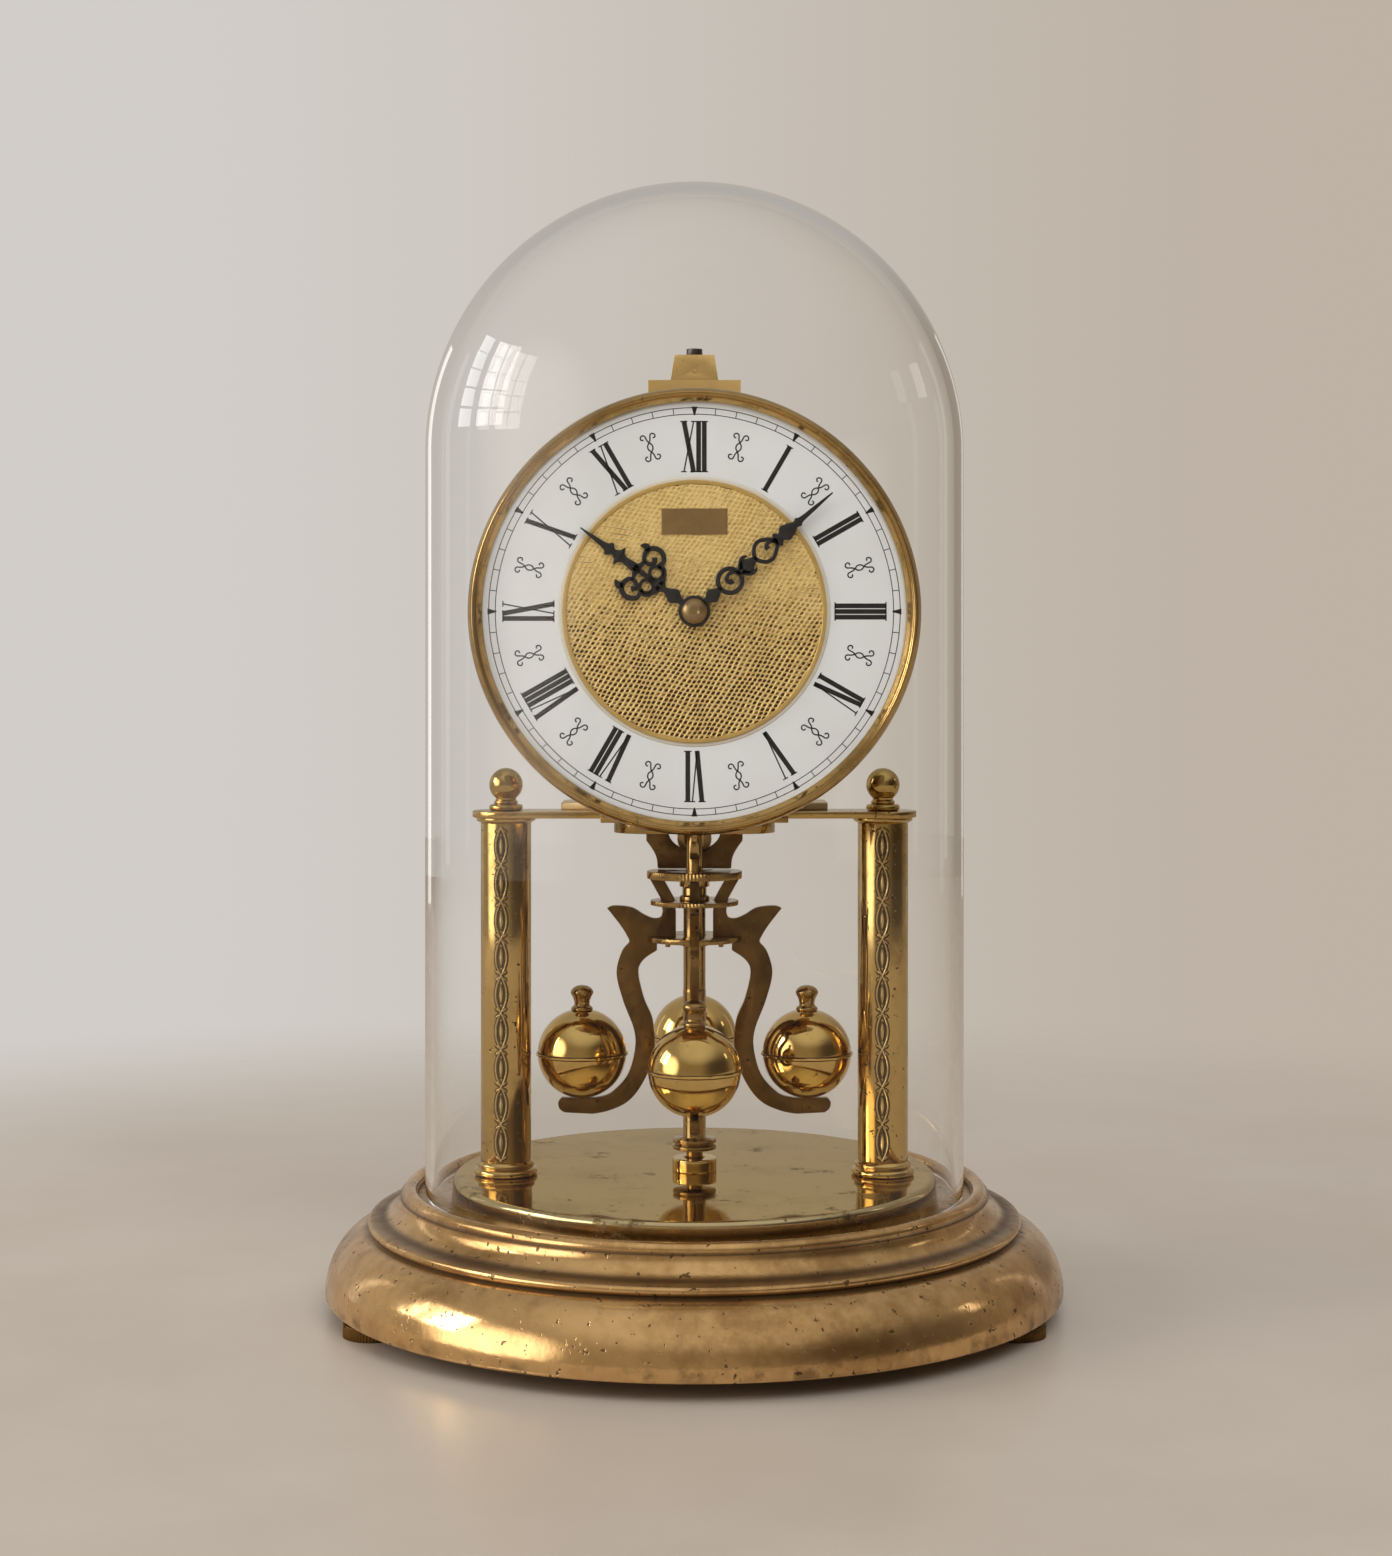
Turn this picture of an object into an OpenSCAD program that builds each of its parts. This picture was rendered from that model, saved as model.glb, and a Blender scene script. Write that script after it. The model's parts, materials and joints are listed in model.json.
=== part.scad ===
// Torsion pendulum clock that stands on a round base under a glass dome.
// Millimetres, +Z up, with the dial facing -Y. The origin lies on the table, on the axis that
// the base, the dome, the suspension spring and the pendulum share.

/* [Base] */
// How far the base reaches out beyond the dome
base_overhang = 27.3; // [22:0.1:30]
// Height of the base's lower edge above the table
base_rise = 5; // [4.5:0.5:8]
// Height of the dome's seat above the table
dome_seat_z = 31; // [28:0.5:36]
// Thickness of the spun sheet
sheet_t = 1.2; // [0.8:0.1:1.5]

/* [Levelling feet] */
// Diameter of a foot's knurled disc
foot_d = 16; // [12:0.5:17]
// Thickness of a foot's knurled disc
foot_h = 3.6; // [2.5:0.1:4]
// Diameter of a foot's screw
foot_screw_d = 6; // [4:0.5:7]
// How far the feet stand inside the base's rim
foot_inset = 9; // [8:0.5:11]
// How far the two front feet stand forward of the sides, in degrees round the base
front_foot_angle = 24; // [20:1:30]

/* [Deck] */
// How far the polished plate reaches out beyond a pillar's axis
deck_margin = 14.66; // [11:0.02:17]
// Height of the polished plate above the dome's seat
deck_h = 5.6; // [4:0.2:7]
// Outer diameter of the cup that guides the pendulum
guide_d = 12.4; // [9:0.2:16]
// Height of the cup that guides the pendulum
guide_h = 3.6; // [3:0.1:6.5]

/* [Dome] */
// Clear space between the polished plate and the glass
deck_play = 5.2; // [3:0.1:8]
// Least clear space between the bezel and the glass
dial_play = 1.4; // [1:0.1:4]
// Thickness of the glass
dome_wall = 2.5; // [1.5:0.1:2.8]
// Height of the glass dome
dome_h = 281; // [274:1:300]

/* [Pillars] */
// Clear space between a pillar and the balls that turn past it
ball_play = 1.24; // [1:0.02:4]
// How far the pillars stand in front of the axis
pillar_forward = 5; // [0:0.5:8]
// Outer diameter of a pillar's tube
pillar_d = 14; // [10:0.2:16]
// Wall of a pillar's tube
pillar_wall = 1; // [0.6:0.1:2]
// Height of a pillar, from the deck to the platform's underside
pillar_h = 99.1; // [96:0.5:104]
// Diameter of the tie rod inside a pillar
tie_rod_d = 4; // [3:0.5:5]
// Diameter of a finial's ball
finial_d = 9.3; // [8:0.1:12]

/* [Platform] */
// Thickness of the platform that carries the movement
platform_t = 1.8; // [1.5:0.1:2.5]
// Depth of the platform's arms, front to back
platform_arm = 17; // [14:0.5:18]
// Diameter of the platform's rounded ends
platform_end_d = 18.6; // [17:0.2:21]
// Thickness of the raised plate under the movement
movement_seat_t = 2; // [1.5:0.1:3]
// Width of the raised plate behind the dial
movement_seat_w = 74.6; // [68:0.2:78]
// Thickness of the rounded plate under the platform
under_plate_t = 4.5; // [3.5:0.1:5]
// Length of the rounded plate under the platform
under_plate_l = 45; // [40:0.5:50]

/* [Movement] */
// Width of the movement's plates
plate_w = 62; // [61:0.5:68]
// Height of the movement's plates
plate_h = 94.5; // [93:0.5:98]
// Thickness of the movement's plates
plate_t = 2.5; // [2:0.1:3]
// Clear space between the front and back plates
plate_gap = 22.5; // [22:0.1:24]
// Height of the hands' axis above the movement's seat
hands_axis_h = 52.5; // [52:0.1:54]
// Distance from the suspension axis to the back plate
spring_offset = 4; // [3.8:0.1:5]
// Diameter of the train's arbors
arbor_d = 1.6; // [1.2:0.1:1.6]
// Diameter of the train's pivots
pivot_d = 1.2; // [0.8:0.1:1.2]
// Thickness of the train's wheels
wheel_t = 1; // [0.7:0.1:1.2]
// Outer diameter of the mainspring barrel's drum
barrel_d = 36; // [30:0.5:36]

/* [Dial] */
// Outer diameter of the bezel
bezel_d = 118.5; // [108:0.5:124]
// Distance from the front plate to the back of the dial
dial_gap = 5.7; // [5.6:0.1:6.2]
// Thickness of the dial
dial_t = 0.8; // [0.6:0.1:1]
// Diameter of the textured disc at the dial's centre
dial_centre_d = 69.7; // [60:0.1:72]

/* [Hands] */
// Length of the minute hand from its axis to its tip
minute_hand_l = 48; // [44:0.5:52]
// Length of the hour hand from its axis to its tip
hour_hand_l = 37.5; // [34:0.5:40]
// Thickness of a hand
hand_t = 0.6; // [0.4:0.1:0.6]
// Minute hand's angle, in degrees clockwise from twelve
minute_angle = 49.2; // [0:0.1:360]
// Hour hand's angle, in degrees clockwise from twelve
hour_angle = 306.4; // [0:0.1:360]

/* [Pendulum] */
// Diameter of a pendulum ball
ball_d = 24.8; // [20:0.2:26]
// Diameter of the circle that the balls' centres lie on
ball_circle_d = 63; // [58:0.2:70]
// Thickness of a lyre arm
arm_t = 2.5; // [1.6:0.1:3]
// Height from the plate under the platform down to the balls' seats
ball_drop = 74.3; // [73:0.1:76]
// Diameter of the knurled regulating disc
regulator_d = 26.6; // [26:0.2:30]
// Diameter of the pendulum's stem
stem_d = 6.2; // [5.6:0.1:7]

/* [Suspension] */
// Width of the ribbon spring
ribbon_w = 0.9; // [0.6:0.1:1.1]
// Thickness of the ribbon spring
ribbon_t = 0.15; // [0.1:0.01:0.2]

/* [Hidden] */
$fn = 64;

// Radial clearance of a running fit, and the gap left between faces that pass each other
fit = 0.05;
gap = 0.3;

aged_brass = [0.62, 0.46, 0.22];
polished_brass = [0.80, 0.64, 0.32];
dark_brass = [0.42, 0.31, 0.15];
steel = [0.60, 0.61, 0.63];
blued_steel = [0.16, 0.17, 0.22];
black = [0.05, 0.05, 0.06];

// Heights of the main levels
deck_z = dome_seat_z + deck_h;
platform_z = deck_z + pillar_h;
platform_top = platform_z + platform_t;
movement_z = platform_top + movement_seat_t;
plate_top = movement_z + plate_h;
under_z = platform_z - under_plate_t;
axis_z = movement_z + hands_axis_h;

// Depths of the main planes, from the suspension axis towards the dial
back_y = -spring_offset;
back_in = back_y - plate_t;
front_in = back_in - plate_gap;
front_y = front_in - plate_t;
dial_back = front_y - dial_gap;
dial_y = dial_back - dial_t;

// Sizes that follow from the pendulum outwards: pillars round the balls, deck round the pillars,
// dome round deck and bezel, base round the dome
ball_r = ball_d / 2;
ball_ring_r = ball_circle_d / 2;
seam_h = 0.7;
seam_rise = 0.5;
pillar_ring_r = ball_ring_r + ball_r + seam_rise + ball_play + pillar_d / 2;
pillar_spacing = 2 * sqrt(pillar_ring_r * pillar_ring_r - pillar_forward * pillar_forward);
deck_d = 2 * (pillar_ring_r + deck_margin);
bezel_lip = 3;
bezel_slope = 1.2;
dome_in = max(deck_d / 2 + deck_play, dial_play + norm([bezel_d / 2 - bezel_slope, dial_y - bezel_lip]));
dome_d = 2 * (dome_in + dome_wall);
base_d = dome_d + 2 * base_overhang;
foot_circle_d = base_d - 2 * foot_inset;

// Points on a circle or an ellipse
function arc(centre, a, b, from, to, steps) =
  [for (i = [0:steps]) let (t = from + (to - from) * i / steps) centre + [a * cos(t), b * sin(t)]];
// A point at a distance and an angle from another
function polar(p, d, a) = p + d * [cos(a), sin(a)];
// Smooth curve through a list of points, with a few steps between each two
function spline_point(p, q, r, s, t) =
  0.5 * (2 * q + (r - p) * t + (2 * p - 5 * q + 4 * r - s) * t * t
    + (3 * q - p - 3 * r + s) * t * t * t);
function spline(pts, steps = 5) = let (n = len(pts)) concat(
  [for (i = [0:n - 2]) for (k = [0:steps - 1])
    spline_point(pts[max(i - 1, 0)], pts[i], pts[i + 1], pts[min(i + 2, n - 1)], k / steps)],
  [pts[n - 1]]);
function mirrored(pts) = [for (i = [len(pts) - 1:-1:0]) [-pts[i].x, pts[i].y]];

// A flat outline in X and Z, made solid from y_back towards the dial
module facing(y_back, t) {
  translate([0, y_back, 0]) rotate([90, 0, 0]) linear_extrude(t) children();
}
// A round rod along Y at a place in X and Z
module rod_y(p, y_front, y_rear, r) {
  translate([p.x, y_rear, p.y]) rotate([90, 0, 0]) cylinder(h = y_rear - y_front, r = r);
}
// A disc with a serrated rim, flat and solid
module knurled_outline(d, cuts, depth = 0.3) polygon([for (i = [0:2 * cuts - 1])
  (d / 2 - (i % 2) * depth) * [cos(i * 180 / cuts), sin(i * 180 / cuts)]]);
module knurled(d, t, cuts) linear_extrude(t) knurled_outline(d, cuts);

// Base shell: a bulge, a bead, a cove and a lip round the dome's groove
base_r = base_d / 2;
bulge_w = 14.5;
bulge_z = base_rise + 1;
bead_z = dome_seat_z - 6.8;
bulge_h = bead_z - 1.4 - bulge_z;
bulge_centre = [base_r - bulge_w, bulge_z];
bulge_low = -asin((bulge_z - base_rise) / bulge_h);
bulge_low_in = -asin((bulge_z - base_rise) / (bulge_h - sheet_t));
bulge_high = 80;
bead_r = bulge_centre.x + bulge_w * cos(bulge_high) - 0.9;
groove_play = 2;
lip_in = dome_d / 2 + groove_play;
lip_w = 4;
lip_rise = 3;
cove_top = [bead_r, dome_seat_z + 0.6];
cove_w = bead_r - (lip_in + lip_w + 0.8);
cove_h = cove_top.y - bead_z - 1.4;
floor_in = deck_d / 2 - 5.3;
foot_places = [for (a = [180 + front_foot_angle, 360 - front_foot_angle, 90])
  polar([0, 0], foot_circle_d / 2, a)];
bush_d = foot_screw_d + 4;
bush_h = 8;
flange_w = 16;

base_outer = concat(
  arc(bulge_centre, bulge_w, bulge_h, bulge_low, bulge_high, 12),
  arc([bead_r, bead_z], 1.3, 1.3, -70, 70, 6),
  arc(cove_top, -cove_w, -cove_h, 85, 0, 8),
  arc([lip_in + lip_w / 2, dome_seat_z + lip_rise - lip_w / 2], lip_w / 2, lip_w / 2, 0, 180, 8),
  [[lip_in, dome_seat_z], [floor_in, dome_seat_z]]);
base_inner = concat(
  [[floor_in, dome_seat_z - sheet_t], [lip_in + lip_w / 2, dome_seat_z - sheet_t]],
  arc(cove_top, -cove_w - sheet_t, -cove_h - sheet_t, 22, 75, 6),
  arc(bulge_centre, bulge_w - sheet_t, bulge_h - sheet_t, bulge_high, bulge_low_in, 12));

module base_shell() color(aged_brass) difference() {
  union() {
    rotate_extrude() polygon(concat(base_outer, base_inner));
    translate([0, 0, base_rise]) linear_extrude(sheet_t) difference() {
      circle(base_r - 1);
      circle(base_r - flange_w);
    }
    for (p = foot_places) translate([p.x, p.y, base_rise]) cylinder(h = bush_h, d = bush_d);
  }
  for (p = foot_places) translate([p.x, p.y, base_rise - 1])
    cylinder(h = bush_h + 2, d = foot_screw_d + 2 * fit);
}

module levelling_foot(p) color(aged_brass) translate([p.x, p.y, 0]) {
  knurled(foot_d, foot_h, 56);
  cylinder(h = base_rise + bush_h, d = foot_screw_d);
}
module levelling_foot_left() levelling_foot(foot_places[0]);
module levelling_foot_right() levelling_foot(foot_places[1]);
module levelling_foot_rear() levelling_foot(foot_places[2]);

// Deck: an upturned pan that stands on the seat inside the dome
deck_edge_r = 1.5;
guide_spigot_d = 5;
pillar_places = [for (side = [-1, 1]) [side * pillar_spacing / 2, -pillar_forward]];

module deck_plate() color(polished_brass) difference() {
  rotate_extrude() polygon(concat(
    [[0, deck_z - sheet_t], [deck_d / 2 - sheet_t, deck_z - sheet_t]],
    [[deck_d / 2 - sheet_t, dome_seat_z], [deck_d / 2, dome_seat_z]],
    arc([deck_d / 2 - deck_edge_r, deck_z - deck_edge_r], deck_edge_r, deck_edge_r, 0, 90, 6),
    [[0, deck_z]]));
  for (p = pillar_places) translate([p.x, p.y, deck_z - 5]) cylinder(h = 10, d = tie_rod_d + 2 * fit);
  translate([0, 0, deck_z - 5]) cylinder(h = 10, d = guide_spigot_d + 2 * fit);
}

guide_pin_d = 4.6;
guide_play = 0.6;
guide_floor = 1;
module guide_cup() color(polished_brass) translate([0, 0, deck_z]) difference() {
  union() {
    rotate_extrude() polygon([[0, 0], [guide_d / 2, 0], [guide_d / 2, guide_h - 0.5],
      [guide_d / 2 - 0.5, guide_h], [0, guide_h]]);
    translate([0, 0, -sheet_t - 1]) cylinder(h = sheet_t + 2, d = guide_spigot_d);
  }
  translate([0, 0, guide_floor]) cylinder(h = guide_h, d = guide_pin_d + 2 * guide_play);
}

module dome_half(r, top_z) {
  translate([0, top_z - r]) intersection() {
    circle(r);
    square([r, r]);
  }
  translate([0, dome_seat_z]) square([r, top_z - r - dome_seat_z]);
}
module glass_dome() color([0.85, 0.92, 0.95, 0.3]) rotate_extrude() difference() {
  dome_half(dome_d / 2, dome_seat_z + dome_h);
  translate([0, -0.01]) dome_half(dome_d / 2 - dome_wall, dome_seat_z + dome_h - dome_wall);
}

// Pillars: a tube between a turned foot and a turned head, drawn together by a tie rod
ring_foot_h = 4;
ring_head_h = 1.5;
tube_r = pillar_d / 2;
rod_bore = tie_rod_d / 2 + fit;
finial_collar_h = 3.2;
tie_thread_up = finial_collar_h + 3;
tie_nut_h = 3;

module pillar(p) color(polished_brass) translate([p.x, p.y, deck_z + ring_foot_h])
  linear_extrude(pillar_h - ring_foot_h - ring_head_h) difference() {
    circle(tube_r);
    circle(tube_r - pillar_wall);
  }
module pillar_left() pillar(pillar_places[0]);
module pillar_right() pillar(pillar_places[1]);

module pillar_rings() color(polished_brass) for (p = pillar_places) {
  translate([p.x, p.y, deck_z]) rotate_extrude() polygon(concat(
    [[rod_bore, 0]], arc([tube_r + 0.8, 1], 1, 1, -90, 60, 6),
    [[tube_r + 0.6, 2.2], [tube_r + 0.9, 2.6], [tube_r + 0.9, 3.2], [tube_r + 0.2, ring_foot_h],
      [rod_bore, ring_foot_h]]));
  translate([p.x, p.y, platform_z - ring_head_h]) rotate_extrude() polygon([[rod_bore, 0],
    [tube_r + 0.2, 0], [tube_r + 1.2, 0.6], [tube_r + 1.2, ring_head_h], [rod_bore, ring_head_h]]);
}

module tie_rods() color(steel) for (p = pillar_places) translate([p.x, p.y, 0]) {
  translate([0, 0, deck_z - sheet_t - tie_nut_h - 1])
    cylinder(h = platform_top + tie_thread_up - deck_z + sheet_t + tie_nut_h + 1, d = tie_rod_d);
  translate([0, 0, deck_z - sheet_t - tie_nut_h]) difference() {
    cylinder(h = tie_nut_h, d = tie_rod_d * 2.1, $fn = 6);
    translate([0, 0, -1]) cylinder(h = tie_nut_h + 2, r = rod_bore);
  }
}

module finial(p) color(polished_brass) translate([p.x, p.y, platform_top]) difference() {
  union() {
    rotate_extrude() polygon(concat([[0, 0]], arc([3.8, 0.9], 0.9, 0.9, -90, 90, 6),
      [[3.3, 1.9], [3.3, 2.7], [2.8, finial_collar_h], [2.8, finial_collar_h + 1], [0, finial_collar_h + 1]]));
    translate([0, 0, finial_collar_h + finial_d / 2 - 0.7]) sphere(d = finial_d);
  }
  translate([0, 0, -1]) cylinder(h = tie_thread_up + 1.3, r = rod_bore);
}
module finial_left() finial(pillar_places[0]);
module finial_right() finial(pillar_places[1]);

// Platform, the raised plate on it and the rounded plate under it
spring_hole_d = 12;
tongue_w = 50;
platform_front = front_y - 1.5;
platform_rear = 16;

module platform() color(aged_brass) translate([0, 0, platform_z]) linear_extrude(platform_t)
  difference() {
    union() {
      translate([-pillar_spacing / 2, -pillar_forward - platform_arm / 2])
        square([pillar_spacing, platform_arm]);
      for (p = pillar_places) translate(p) circle(d = platform_end_d);
      translate([-tongue_w / 2, platform_front]) square([tongue_w, -platform_front]);
      translate([-movement_seat_w / 2 + 4, -pillar_forward])
        square([movement_seat_w - 8, platform_rear + pillar_forward]);
    }
    for (p = pillar_places) translate(p) circle(rod_bore);
    circle(d = spring_hole_d);
  }

module movement_seat() color(polished_brass) translate([0, 0, platform_top])
  linear_extrude(movement_seat_t) difference() {
    half = [[tongue_w / 2, platform_front], [tongue_w / 2, -5], [movement_seat_w / 2, -1],
      [movement_seat_w / 2, platform_rear - 2], [movement_seat_w / 2 - 4, platform_rear + 2]];
    polygon(concat(half, mirrored(half)));
    circle(d = spring_hole_d);
  }

// The lug at the back of the under plate holds the screw that locks the pendulum for transport
under_plate_w = 20;
bracket_front = 5;
bracket_t = 2;
lug_front = bracket_front + bracket_t + gap;
lug_t = 2;
lug_w = 6;
lock_z = under_z - 2.7;
lock_screw_d = 2.5;
lock_knob_d = 10;

module under_plate() color(aged_brass) {
  translate([0, 0, under_z]) linear_extrude(under_plate_t) difference() {
    union() {
      square([under_plate_l - under_plate_w, under_plate_w], center = true);
      for (side = [-1, 1]) translate([side * (under_plate_l - under_plate_w) / 2, 0])
        circle(d = under_plate_w);
    }
    circle(d = spring_hole_d);
  }
  facing(lug_front + lug_t, lug_t) difference() {
    union() {
      translate([-lug_w / 2, lock_z]) square([lug_w, under_z - lock_z + 0.5]);
      translate([0, lock_z]) circle(d = lug_w);
    }
    translate([0, lock_z]) circle(d = lock_screw_d + 2 * fit);
  }
}

module guard_bracket() color(dark_brass) facing(bracket_front + bracket_t, bracket_t) {
  foot_z = regulator_z + regulator_t + gap;
  half = concat([[13.6, under_z], [13.6, under_z - 2.8]],
    spline([[12.6, under_z - 4.1], [11.3, under_z - 6.2], [10.6, under_z - 8.2], [10.4, foot_z]], 3));
  difference() {
    polygon(concat(half, mirrored(half)));
    polygon(arc([0, under_z + 0.01], 7.4, 5.6, 180, 360, 16));
  }
}

module lock_screw() color(polished_brass) translate([0, 0, lock_z]) rotate([90, 0, 0]) {
  knob_y = max(lug_front + lug_t, under_plate_w / 2) + gap;
  translate([0, 0, -knob_y - 3.5]) knurled(lock_knob_d, 3.5, 36);
  translate([0, 0, -knob_y - 1]) cylinder(h = knob_y + 1 - stem_d / 2 - 0.6, d = lock_screw_d);
}

// Gear train: each wheel drives the next arbor's pinion
great_teeth = 96;
second_teeth = 90;
third_teeth = 96;
centre_teeth = 48;
fourth_teeth = 48;
escape_teeth = 15;
second_leaves = 12;
third_leaves = 10;
centre_leaves = 8;
fourth_leaves = 12;
escape_leaves = 12;
cannon_leaves = 12;
minute_teeth = 36;
minute_leaves = 12;
hour_teeth = 48;
great_module = 0.45;
second_module = 0.32;
third_module = 0.30;
centre_module = 0.40;
fourth_module = 0.36;
minute_module = 0.40;
escape_r = 8.2;

function spacing(wheel, leaves, m) = (wheel + leaves) * m / 2;
// Where two circles meet, on the right of the way from p to q
function meeting(p, rp, q, rq) =
  let (d = norm(q - p), a = (rp * rp - rq * rq + d * d) / (2 * d), u = (q - p) / d)
  p + a * u + sqrt(rp * rp - a * a) * [u.y, -u.x];
function bearing(p, q) = atan2(q.y - p.y, q.x - p.x);

motion_spacing = spacing(minute_teeth, cannon_leaves, minute_module);
hour_module = 2 * motion_spacing / (hour_teeth + minute_leaves);
centre_at = [0, axis_z];
barrel_at = [-8, axis_z - 28.5];
second_at = polar(barrel_at, spacing(great_teeth, second_leaves, great_module), 36);
third_at = meeting(second_at, spacing(second_teeth, third_leaves, second_module),
  centre_at, spacing(third_teeth, centre_leaves, third_module));
fourth_at = polar(centre_at, spacing(centre_teeth, fourth_leaves, centre_module), 125);
escape_at = [0, fourth_at.y
  + sqrt(pow(spacing(fourth_teeth, escape_leaves, fourth_module), 2) - pow(fourth_at.x, 2))];
anchor_at = escape_at + [0, escape_r * sqrt(2)];
minute_at = polar(centre_at, motion_spacing, 205);

// Depth of each wheel's rear face in front of the back plate
second_depth = 3.4;
fourth_depth = 5.5;
great_depth = 6;
third_depth = 10.5;
centre_depth = 15;
escape_depth = 18;
great_t = 1.5;
pinion_over = 0.7;
shake = 0.2;

// Tooth forms: half width as a share of the pitch, and height in modules from the pitch circle
wheel_form = [[-0.23, -1.25], [-0.21, 0], [-0.06, 0.95], [0.06, 0.95], [0.21, 0], [0.23, -1.25]];
leaf_form = [[-0.18, -1.3], [-0.18, 0], [-0.08, 0.5], [0.08, 0.5], [0.18, 0], [0.18, -1.3]];
function toothed(teeth, m, form, phase) = [for (i = [0:teeth - 1]) for (f = form)
  (m * teeth / 2 + f.y * m) * [cos(phase + (i + f.x) * 360 / teeth), sin(phase + (i + f.x) * 360 / teeth)]];
function sector(r1, r2, a1, a2) = concat(arc([0, 0], r1, r1, a1, a2, 6), arc([0, 0], r2, r2, a2, a1, 10));

// A wheel turned so that one of its teeth points at the arbor it drives
module wheel(teeth, m, at, drives, depth, spokes = 5, hub_r = 2.4) {
  rim_r = teeth * m / 2 - 2.2 * m - 0.6;
  phase = bearing(at, drives);
  translate([at.x, 0, at.y]) facing(back_in - depth, wheel_t) difference() {
    polygon(toothed(teeth, m, wheel_form, phase));
    for (i = [0:spokes - 1]) rotate(i * 360 / spokes)
      polygon(sector(hub_r + 0.4, rim_r, 360 / spokes * 0.16 + 4, 360 / spokes * 0.84 - 4));
  }
}
// A pinion turned so that a gap between its leaves faces the wheel that drives it
module pinion(leaves, m, at, driver, depth, t) {
  phase = bearing(at, driver) + 180 / leaves;
  translate([at.x, 0, at.y]) facing(back_in - depth + pinion_over, t + 2 * pinion_over)
    polygon(toothed(leaves, m, leaf_form, phase));
}
module arbor(at) {
  rod_y(at, front_in + shake, back_in - shake, arbor_d / 2);
  rod_y(at, front_y, back_y, pivot_d / 2);
}

// Barrel, with its mainspring and lid, on the winding arbor
drum_r = barrel_d / 2;
drum_l = 13.8;
drum_wall = 1.2;
cap_t = 1.2;
barrel_arbor_d = 5;
barrel_pivot_d = 3.8;
drum_rear = back_in - great_depth;
drum_front = drum_rear - drum_l;

module barrel() color(polished_brass) {
  translate([barrel_at.x, 0, barrel_at.y]) facing(drum_rear, great_t) difference() {
    polygon(toothed(great_teeth, great_module, wheel_form, bearing(barrel_at, second_at)));
    circle(d = barrel_arbor_d + 2 * fit);
  }
  translate([barrel_at.x, 0, barrel_at.y]) facing(drum_rear - great_t, drum_l - great_t) difference() {
    circle(drum_r);
    circle(drum_r - drum_wall);
  }
}
module barrel_cap() color(polished_brass) translate([barrel_at.x, 0, barrel_at.y])
  facing(drum_front, cap_t) difference() {
    circle(drum_r);
    circle(d = barrel_arbor_d + 2 * fit);
  }

mainspring_turns = 8;
mainspring_t = 0.5;
mainspring_in = barrel_arbor_d / 2 + gap;
mainspring_out = drum_r - drum_wall - mainspring_t - 0.1;
mainspring_steps = mainspring_turns * 20;
function coil(offset) = [for (i = [0:mainspring_steps])
  let (r = mainspring_in + offset + (mainspring_out - mainspring_in) * i / mainspring_steps, a = i * 18)
  r * [cos(a), sin(a)]];
module mainspring() color(blued_steel) translate([barrel_at.x, 0, barrel_at.y])
  facing(drum_rear - great_t - gap, drum_l - great_t - 2 * gap)
    polygon(concat(coil(0), [for (i = [mainspring_steps:-1:0]) coil(mainspring_t)[i]]));

square_w = 3.4;
square_end = 9;
ratchet_t = 1.4;
ratchet_y = back_y + 0.4;
ratchet_r = 7;
ratchet_teeth = 20;
module winding_arbor() color(steel) {
  rod_y(barrel_at, front_in + shake, back_in - shake, barrel_arbor_d / 2);
  rod_y(barrel_at, front_y, ratchet_y + ratchet_t, barrel_pivot_d / 2);
  translate([barrel_at.x, ratchet_y + ratchet_t, barrel_at.y]) translate([-square_w / 2, 0, -square_w / 2])
    cube([square_w, square_end - ratchet_y - ratchet_t, square_w]);
}
module ratchet_wheel() color(steel) translate([barrel_at.x, 0, barrel_at.y])
  facing(ratchet_y + ratchet_t, ratchet_t) difference() {
    polygon([for (i = [0:ratchet_teeth - 1]) for (f = [[0, ratchet_r - 1.1], [0.05, ratchet_r]])
      f.y * [cos((i + f.x) * 360 / ratchet_teeth), sin((i + f.x) * 360 / ratchet_teeth)]]);
    circle(d = barrel_pivot_d + 2 * fit);
  }

click_at = polar(barrel_at, ratchet_r + 4.5, 130);
click_nose = polar(barrel_at, ratchet_r + gap, 82);
click_stud_d = 2.4;
click_hub_r = 2.3;
module click() color(steel) facing(ratchet_y + ratchet_t, ratchet_t) {
  a = bearing(click_at, click_nose);
  difference() {
    union() {
      translate(click_at) circle(click_hub_r);
      polygon([polar(click_at, click_hub_r, a + 80), polar(click_nose, 1.6, a + 100), click_nose,
        polar(click_at, click_hub_r, a - 70)]);
    }
    translate(click_at) circle(d = click_stud_d + 2 * fit);
  }
}
module click_spring() color(blued_steel) facing(ratchet_y + ratchet_t, ratchet_t) translate(click_at) {
  r = click_hub_r + gap;
  polygon(concat(arc([0, 0], r, r, 70, 200, 10), arc([0, 0], r + 0.5, r + 0.5, 200, 70, 10)));
  translate(polar([0, 0], r + 1.2, 200)) square([2.4, 3.6], center = true);
}

module second_wheel() color(polished_brass) {
  arbor(second_at);
  wheel(second_teeth, second_module, second_at, third_at, second_depth);
  pinion(second_leaves, great_module, second_at, barrel_at, great_depth, great_t);
}
module third_wheel() color(polished_brass) {
  arbor(third_at);
  wheel(third_teeth, third_module, third_at, centre_at, third_depth);
  pinion(third_leaves, second_module, third_at, second_at, second_depth, wheel_t);
}
module fourth_wheel() color(polished_brass) {
  arbor(fourth_at);
  wheel(fourth_teeth, fourth_module, fourth_at, escape_at, fourth_depth);
  pinion(fourth_leaves, centre_module, fourth_at, centre_at, centre_depth, wheel_t);
}

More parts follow.
